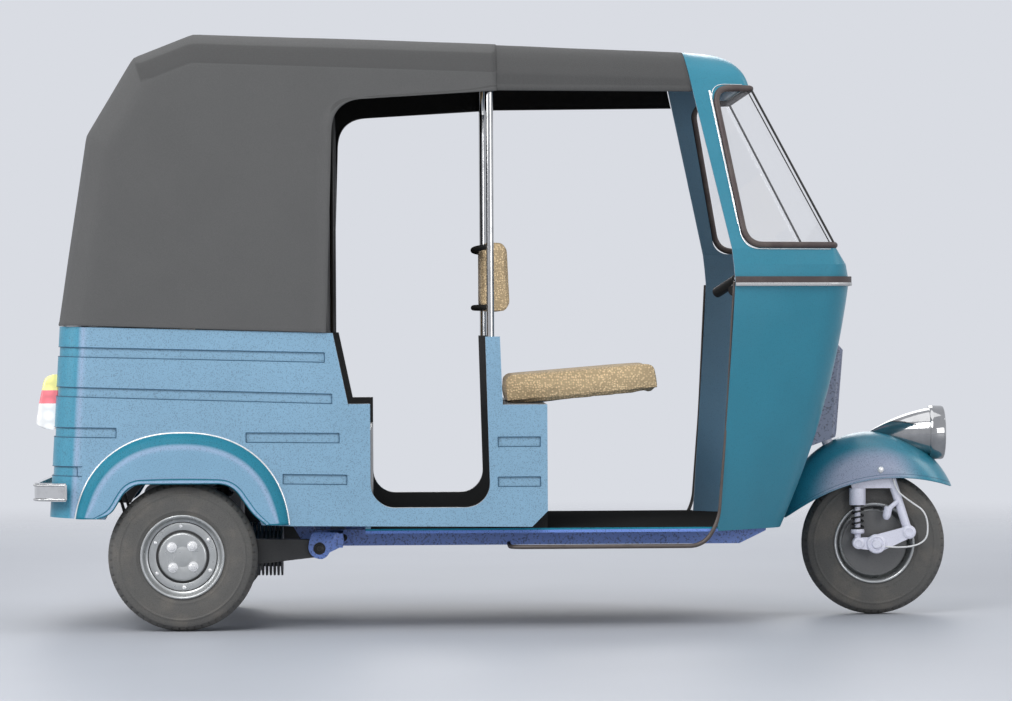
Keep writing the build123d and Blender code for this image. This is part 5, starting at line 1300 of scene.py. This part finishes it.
class RICKSHAW_OT_front_end(bpy.types.Operator):
    """Adds the bosses of the link, the mudguard's edge and rivets, and the headlamp's ring and reflector"""

    bl_idname = "rickshaw.front_end"
    bl_label = "Fork, mudguard and headlamp fittings"

    def execute(self, context):
        bosses = Shape()
        face = -0.109
        for x, z, radius in ((1.188, 0.244, 0.0195), (1.04, 0.212, 0.017)):
            bosses.lathe([(0, -0.002), (radius, -0.002), (radius, 0.003), (radius - 0.003, 0.0055),
                          (radius * 0.55, 0.006), (radius * 0.5, 0.004), (0, 0.0035)], (x, face, z),
                         (0, -1, 0), 32)
        bosses.lathe([(0, -0.002), (0.0285, -0.002), (0.0285, 0.004), (0.026, 0.007), (0.02, 0.008),
                      (0.019, 0.0055), (0.014, 0.0055), (0.0135, 0.0115), (0.0115, 0.0135), (0, 0.014)],
                     (FRONT_AXLE.x, face, FRONT_AXLE.z), (0, -1, 0), 40)
        bosses.build("link_bosses", "fork_paint", "steering")

        arm = Shape()
        leg, tip = Vector((1.13, -0.092, 0.318)), Vector((1.121, -0.092, 0.278))
        arm.lathe([(0, 0), (0.01, 0.0005), (0.0122, 0.003), (0.0122, 0.026), (0.01, 0.033), (0.006, 0.0385),
                      (0, 0.0398)], leg, tip - leg, 24)
        arm.tube([(1.128, -0.092, 0.31), (1.156, -0.092, 0.333)], 0.007, 16)
        arm.build("brake_arm", "fork_paint", "steering")

        edges = Shape()
        lower = arc_through((0.8259, 0, 0.282), (1.0999, 0, 0.401), (1.325, 0, 0.374), 64)
        for side in SIDES:
            # The second, thin dark line above the edge is painted shade of the mudguard's fold.
            for rise, radius, mark in ((0.0, 0.0022, 0), (0.0095, 0.0009, 1)):
                path = []
                for p in lower[1:-1]:
                    out = (p + Vector((0, 0, rise)) - MUDGUARD_CENTRE).length - 0.147
                    half = math.sqrt(max(0.112**2 - max(out, 0.0) ** 2, 1e-6))
                    path.append(Vector((p.x, side * (half - 0.0006), p.z + rise)))
                edges.tube(path, radius, 8, mark=mark)
        edges.build("mudguard_edges", ("mudguard_paint", "rib_line_paint"), "steering")

        rivets = Shape()
        for side in SIDES:
            rivets.lathe([(0.0095, -0.002), (0.0095, 0.001), (0.008, 0.003), (0.004, 0.0042), (0, 0.0046)],
                         (1.105, side * 0.1118, 0.4265), (0, side, 0), 24)
        rivets.build("mudguard_rivets", "nut_steel", "steering")

        lamp = Shape()
        lamp.lathe([(0.0655, 0.005), (0.0665, 0.026), (0.0685, 0.0325), (0.0725, 0.034), (0.077, 0.0315),
                    (0.079, 0.026), (0.0795, 0.0), (0.0795, -0.006), (0.0775, -0.0105), (0.0745, -0.011),
                    (0.0655, -0.011)], LAMP_RIM, (1, 0, 0), 64)
        lamp.build("headlamp_ring", "lamp_chrome", "steering")
        mirror = Shape()
        mirror.lathe([(0.065, 0.0012), (0.055, 0.0009), (0.035, 0.0006), (0.014, 0.0004), (0.012, 0.004),
                      (0.011, 0.013), (0.007, 0.0175), (0, 0.0185)], LAMP_RIM, (1, 0, 0), 48)
        mirror.build("headlamp_reflector", "chrome", "steering")
        return {"FINISHED"}


class RICKSHAW_OT_fasteners(bpy.types.Operator):
    """Sets the bolts of the arms, rails and bumper, and the plates of the arms' ears"""

    bl_idname = "rickshaw.fasteners"
    bl_label = "Bolts"

    def execute(self, context):
        bolts = Shape()
        for side in SIDES:
            bolts.nut((-0.526, side * 0.5035, 0.226), (0, side, 0), 0.0115, 0.008)
            for x in (-0.49, -0.46):
                bolts.nut((x, side * 0.3222, 0.248), (0, side, 0), 0.007, 0.006)
            bolts.nut((-1.3245, side * 0.25, 0.393), (-1, 0, 0), 0.009, 0.0055)
        bolts.build("chassis_bolts", "dark_steel", "body")

        ears = Shape()
        outline = [(-0.02, 0.046), (0.0505, 0.046), (0.0488, 0.0252), (0.0315, 0.0096), (0.0284, -0.0159),
                   (0.0094, -0.0318), (-0.019, -0.0252), (-0.0329, -0.0031), (-0.0286, 0.0252)]
        for side in SIDES:
            flat = rounded([(-0.526 + x, 0, 0.226 + z) for x, z in outline + outline[:2]], 0.012, 6)[1:-1]
            rows = [[Vector((p.x, side * y, p.z)) for p in flat] for y in (0.497, 0.5022, 0.5035)]
            middle = sum((p for p in rows[2]), Vector()) / len(flat)
            rows[2] = [p.lerp(middle, 0.03) for p in rows[2]]
            ears.grid(rows, ring=True)
            ears.add(rows[2], [range(len(flat))])
        ears.build("arm_ears", "chassis_paint", "body", sharp=60)
        return {"FINISHED"}


class RICKSHAW_OT_stage(bpy.types.Operator):
    """Sets the floor, the soft light and the camera"""

    bl_idname = "rickshaw.stage"
    bl_label = "Floor, light and camera"

    def execute(self, context):
        scene = context.scene
        scene.view_settings.view_transform = "Standard"
        self.floor()
        self.light()
        self.camera(scene)
        return {"FINISHED"}

    def floor(self):
        """Round pale floor that fades into the backdrop."""
        shape = Shape()
        rings = [[Vector((r * math.cos(a), r * math.sin(a), 0))
                  for a in [math.pi * k / 32 for k in range(64)]] for r in (0.001, 2, 5, 9, 14, 20)]
        shape.grid(rings, ring=True)
        mesh = bpy.data.meshes.new("studio_floor")
        mesh.from_pydata(shape.points, [], shape.faces)
        piece = bpy.data.objects.new("studio_floor", mesh)
        bpy.context.scene.collection.objects.link(piece)
        f = Finish("floor_pale")
        tone = f.mix(f.noise(0.8, 2.0), chip(172, 175, 182), chip(180, 183, 190))
        surface = f.node("BsdfPrincipled", {"Base Color": tone, "Roughness": 0.5, "Specular IOR Level": 0.2})
        gone = f.node("BsdfTransparent").outputs[0]
        out = f.node("VectorMath", {0: f.place}, operation="LENGTH").outputs["Value"]
        whole = f.node("MixShader", {"Fac": f.span(out, 3.0, 9.0), 1: surface.outputs[0], 2: gone}).outputs[0]
        f.node("OutputMaterial", {"Surface": whole})
        mesh.materials.append(f.material)

    def light(self):
        """Pale world and six soft lamps."""
        world = bpy.data.worlds.new("studio")
        world.use_nodes = True
        nodes, links = world.node_tree.nodes, world.node_tree.links
        nodes.clear()
        path = nodes.new("ShaderNodeLightPath")
        seen = path.outputs["Is Camera Ray"]
        for key in ("Is Glossy Ray", "Is Transmission Ray"):
            either = nodes.new("ShaderNodeMath")
            either.operation = "MAXIMUM"
            links.new(seen, either.inputs[0])
            links.new(path.outputs[key], either.inputs[1])
            seen = either.outputs[0]
        shown = nodes.new("ShaderNodeBackground")
        shown.inputs["Color"].default_value = (*chip(217, 220, 227), 1.0)
        shown.inputs["Strength"].default_value = 1.0
        lit = nodes.new("ShaderNodeBackground")
        lit.inputs["Color"].default_value = (0.93, 0.96, 1.0, 1.0)
        lit.inputs["Strength"].default_value = 0.45
        both = nodes.new("ShaderNodeMixShader")
        links.new(seen, both.inputs["Fac"])
        links.new(lit.outputs[0], both.inputs[1])
        links.new(shown.outputs[0], both.inputs[2])
        out = nodes.new("ShaderNodeOutputWorld")
        links.new(both.outputs[0], out.inputs["Surface"])
        bpy.context.scene.world = world
        rows = (("key", (-2.5, -6.0, 5.5), 4.0, 330), ("over", (0.4, -0.5, 5.0), 3.5, 45),
                ("front", (6.0, -0.6, 4.4), 2.5, 70), ("far", (0.0, 6.0, 4.0), 4.0, 150),
                ("tail", (-6.0, -2.5, 2.8), 2.5, 120), ("side", (4.2, -7.0, 1.8), 2.5, 110))
        for name, spot, size, power in rows:
            lamp = bpy.data.lights.new(name, "AREA")
            lamp.shape = "SQUARE"
            lamp.size = size
            lamp.energy = power
            holder = bpy.data.objects.new(name, lamp)
            holder.location = spot
            aim = Vector((0.0, 0.0, 0.8)) - Vector(spot)
            holder.rotation_euler = aim.to_track_quat("-Z", "Y").to_euler()
            bpy.context.scene.collection.objects.link(holder)

    def camera(self, scene):
        """Long lens square to the right side."""
        data = bpy.data.cameras.new("camera")
        data.sensor_width = 36.0
        data.lens = 163.5
        eye = bpy.data.objects.new("camera", data)
        eye.location = (-0.282, -13.5, 0.86)
        aim = Vector((0.0155, 0.0, 0.78)) - Vector(eye.location)
        roll = Matrix.Rotation(math.radians(-0.31), 3, "Z")
        eye.rotation_euler = (aim.to_track_quat("-Z", "Y").to_matrix() @ roll).to_euler()
        scene.collection.objects.link(eye)
        scene.camera = eye


STEPS = (
    RICKSHAW_OT_finishes,
    RICKSHAW_OT_hood,
    RICKSHAW_OT_seats,
    RICKSHAW_OT_tyres,
    RICKSHAW_OT_wheels,
    RICKSHAW_OT_fenders,
    RICKSHAW_OT_springs,
    RICKSHAW_OT_trim,
    RICKSHAW_OT_tail,
    RICKSHAW_OT_pressings,
    RICKSHAW_OT_cable,
    RICKSHAW_OT_front_end,
    RICKSHAW_OT_fasteners,
    RICKSHAW_OT_stage,
)


class RICKSHAW_PT_build(bpy.types.Panel):
    """Lists the steps that dress the rickshaw"""

    bl_idname = "RICKSHAW_PT_build"
    bl_label = "Auto rickshaw"
    bl_space_type = "VIEW_3D"
    bl_region_type = "UI"
    bl_category = "Rickshaw"

    def draw(self, context):
        for step in STEPS:
            self.layout.operator(step.bl_idname)
        for group in (sizes(), colours()):
            for key in group.__annotations__:
                self.layout.prop(group, key)


CLASSES = (RickshawSizes, RickshawColours, *STEPS, RICKSHAW_PT_build)


def register():
    """Adds the classes and the settings on the scene."""
    for cls in CLASSES:
        bpy.utils.register_class(cls)
    bpy.types.Scene.rickshaw_sizes = PointerProperty(type=RickshawSizes)
    bpy.types.Scene.rickshaw_colours = PointerProperty(type=RickshawColours)


def unregister():
    """Takes away what register added."""
    del bpy.types.Scene.rickshaw_colours
    del bpy.types.Scene.rickshaw_sizes
    for cls in reversed(CLASSES):
        bpy.utils.unregister_class(cls)


def main():
    """Builds the rickshaw."""
    register()
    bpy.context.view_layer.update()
    for step in STEPS:
        area, name = step.bl_idname.split(".")
        getattr(getattr(bpy.ops, area), name)()


if __name__ == "__main__":
    main()
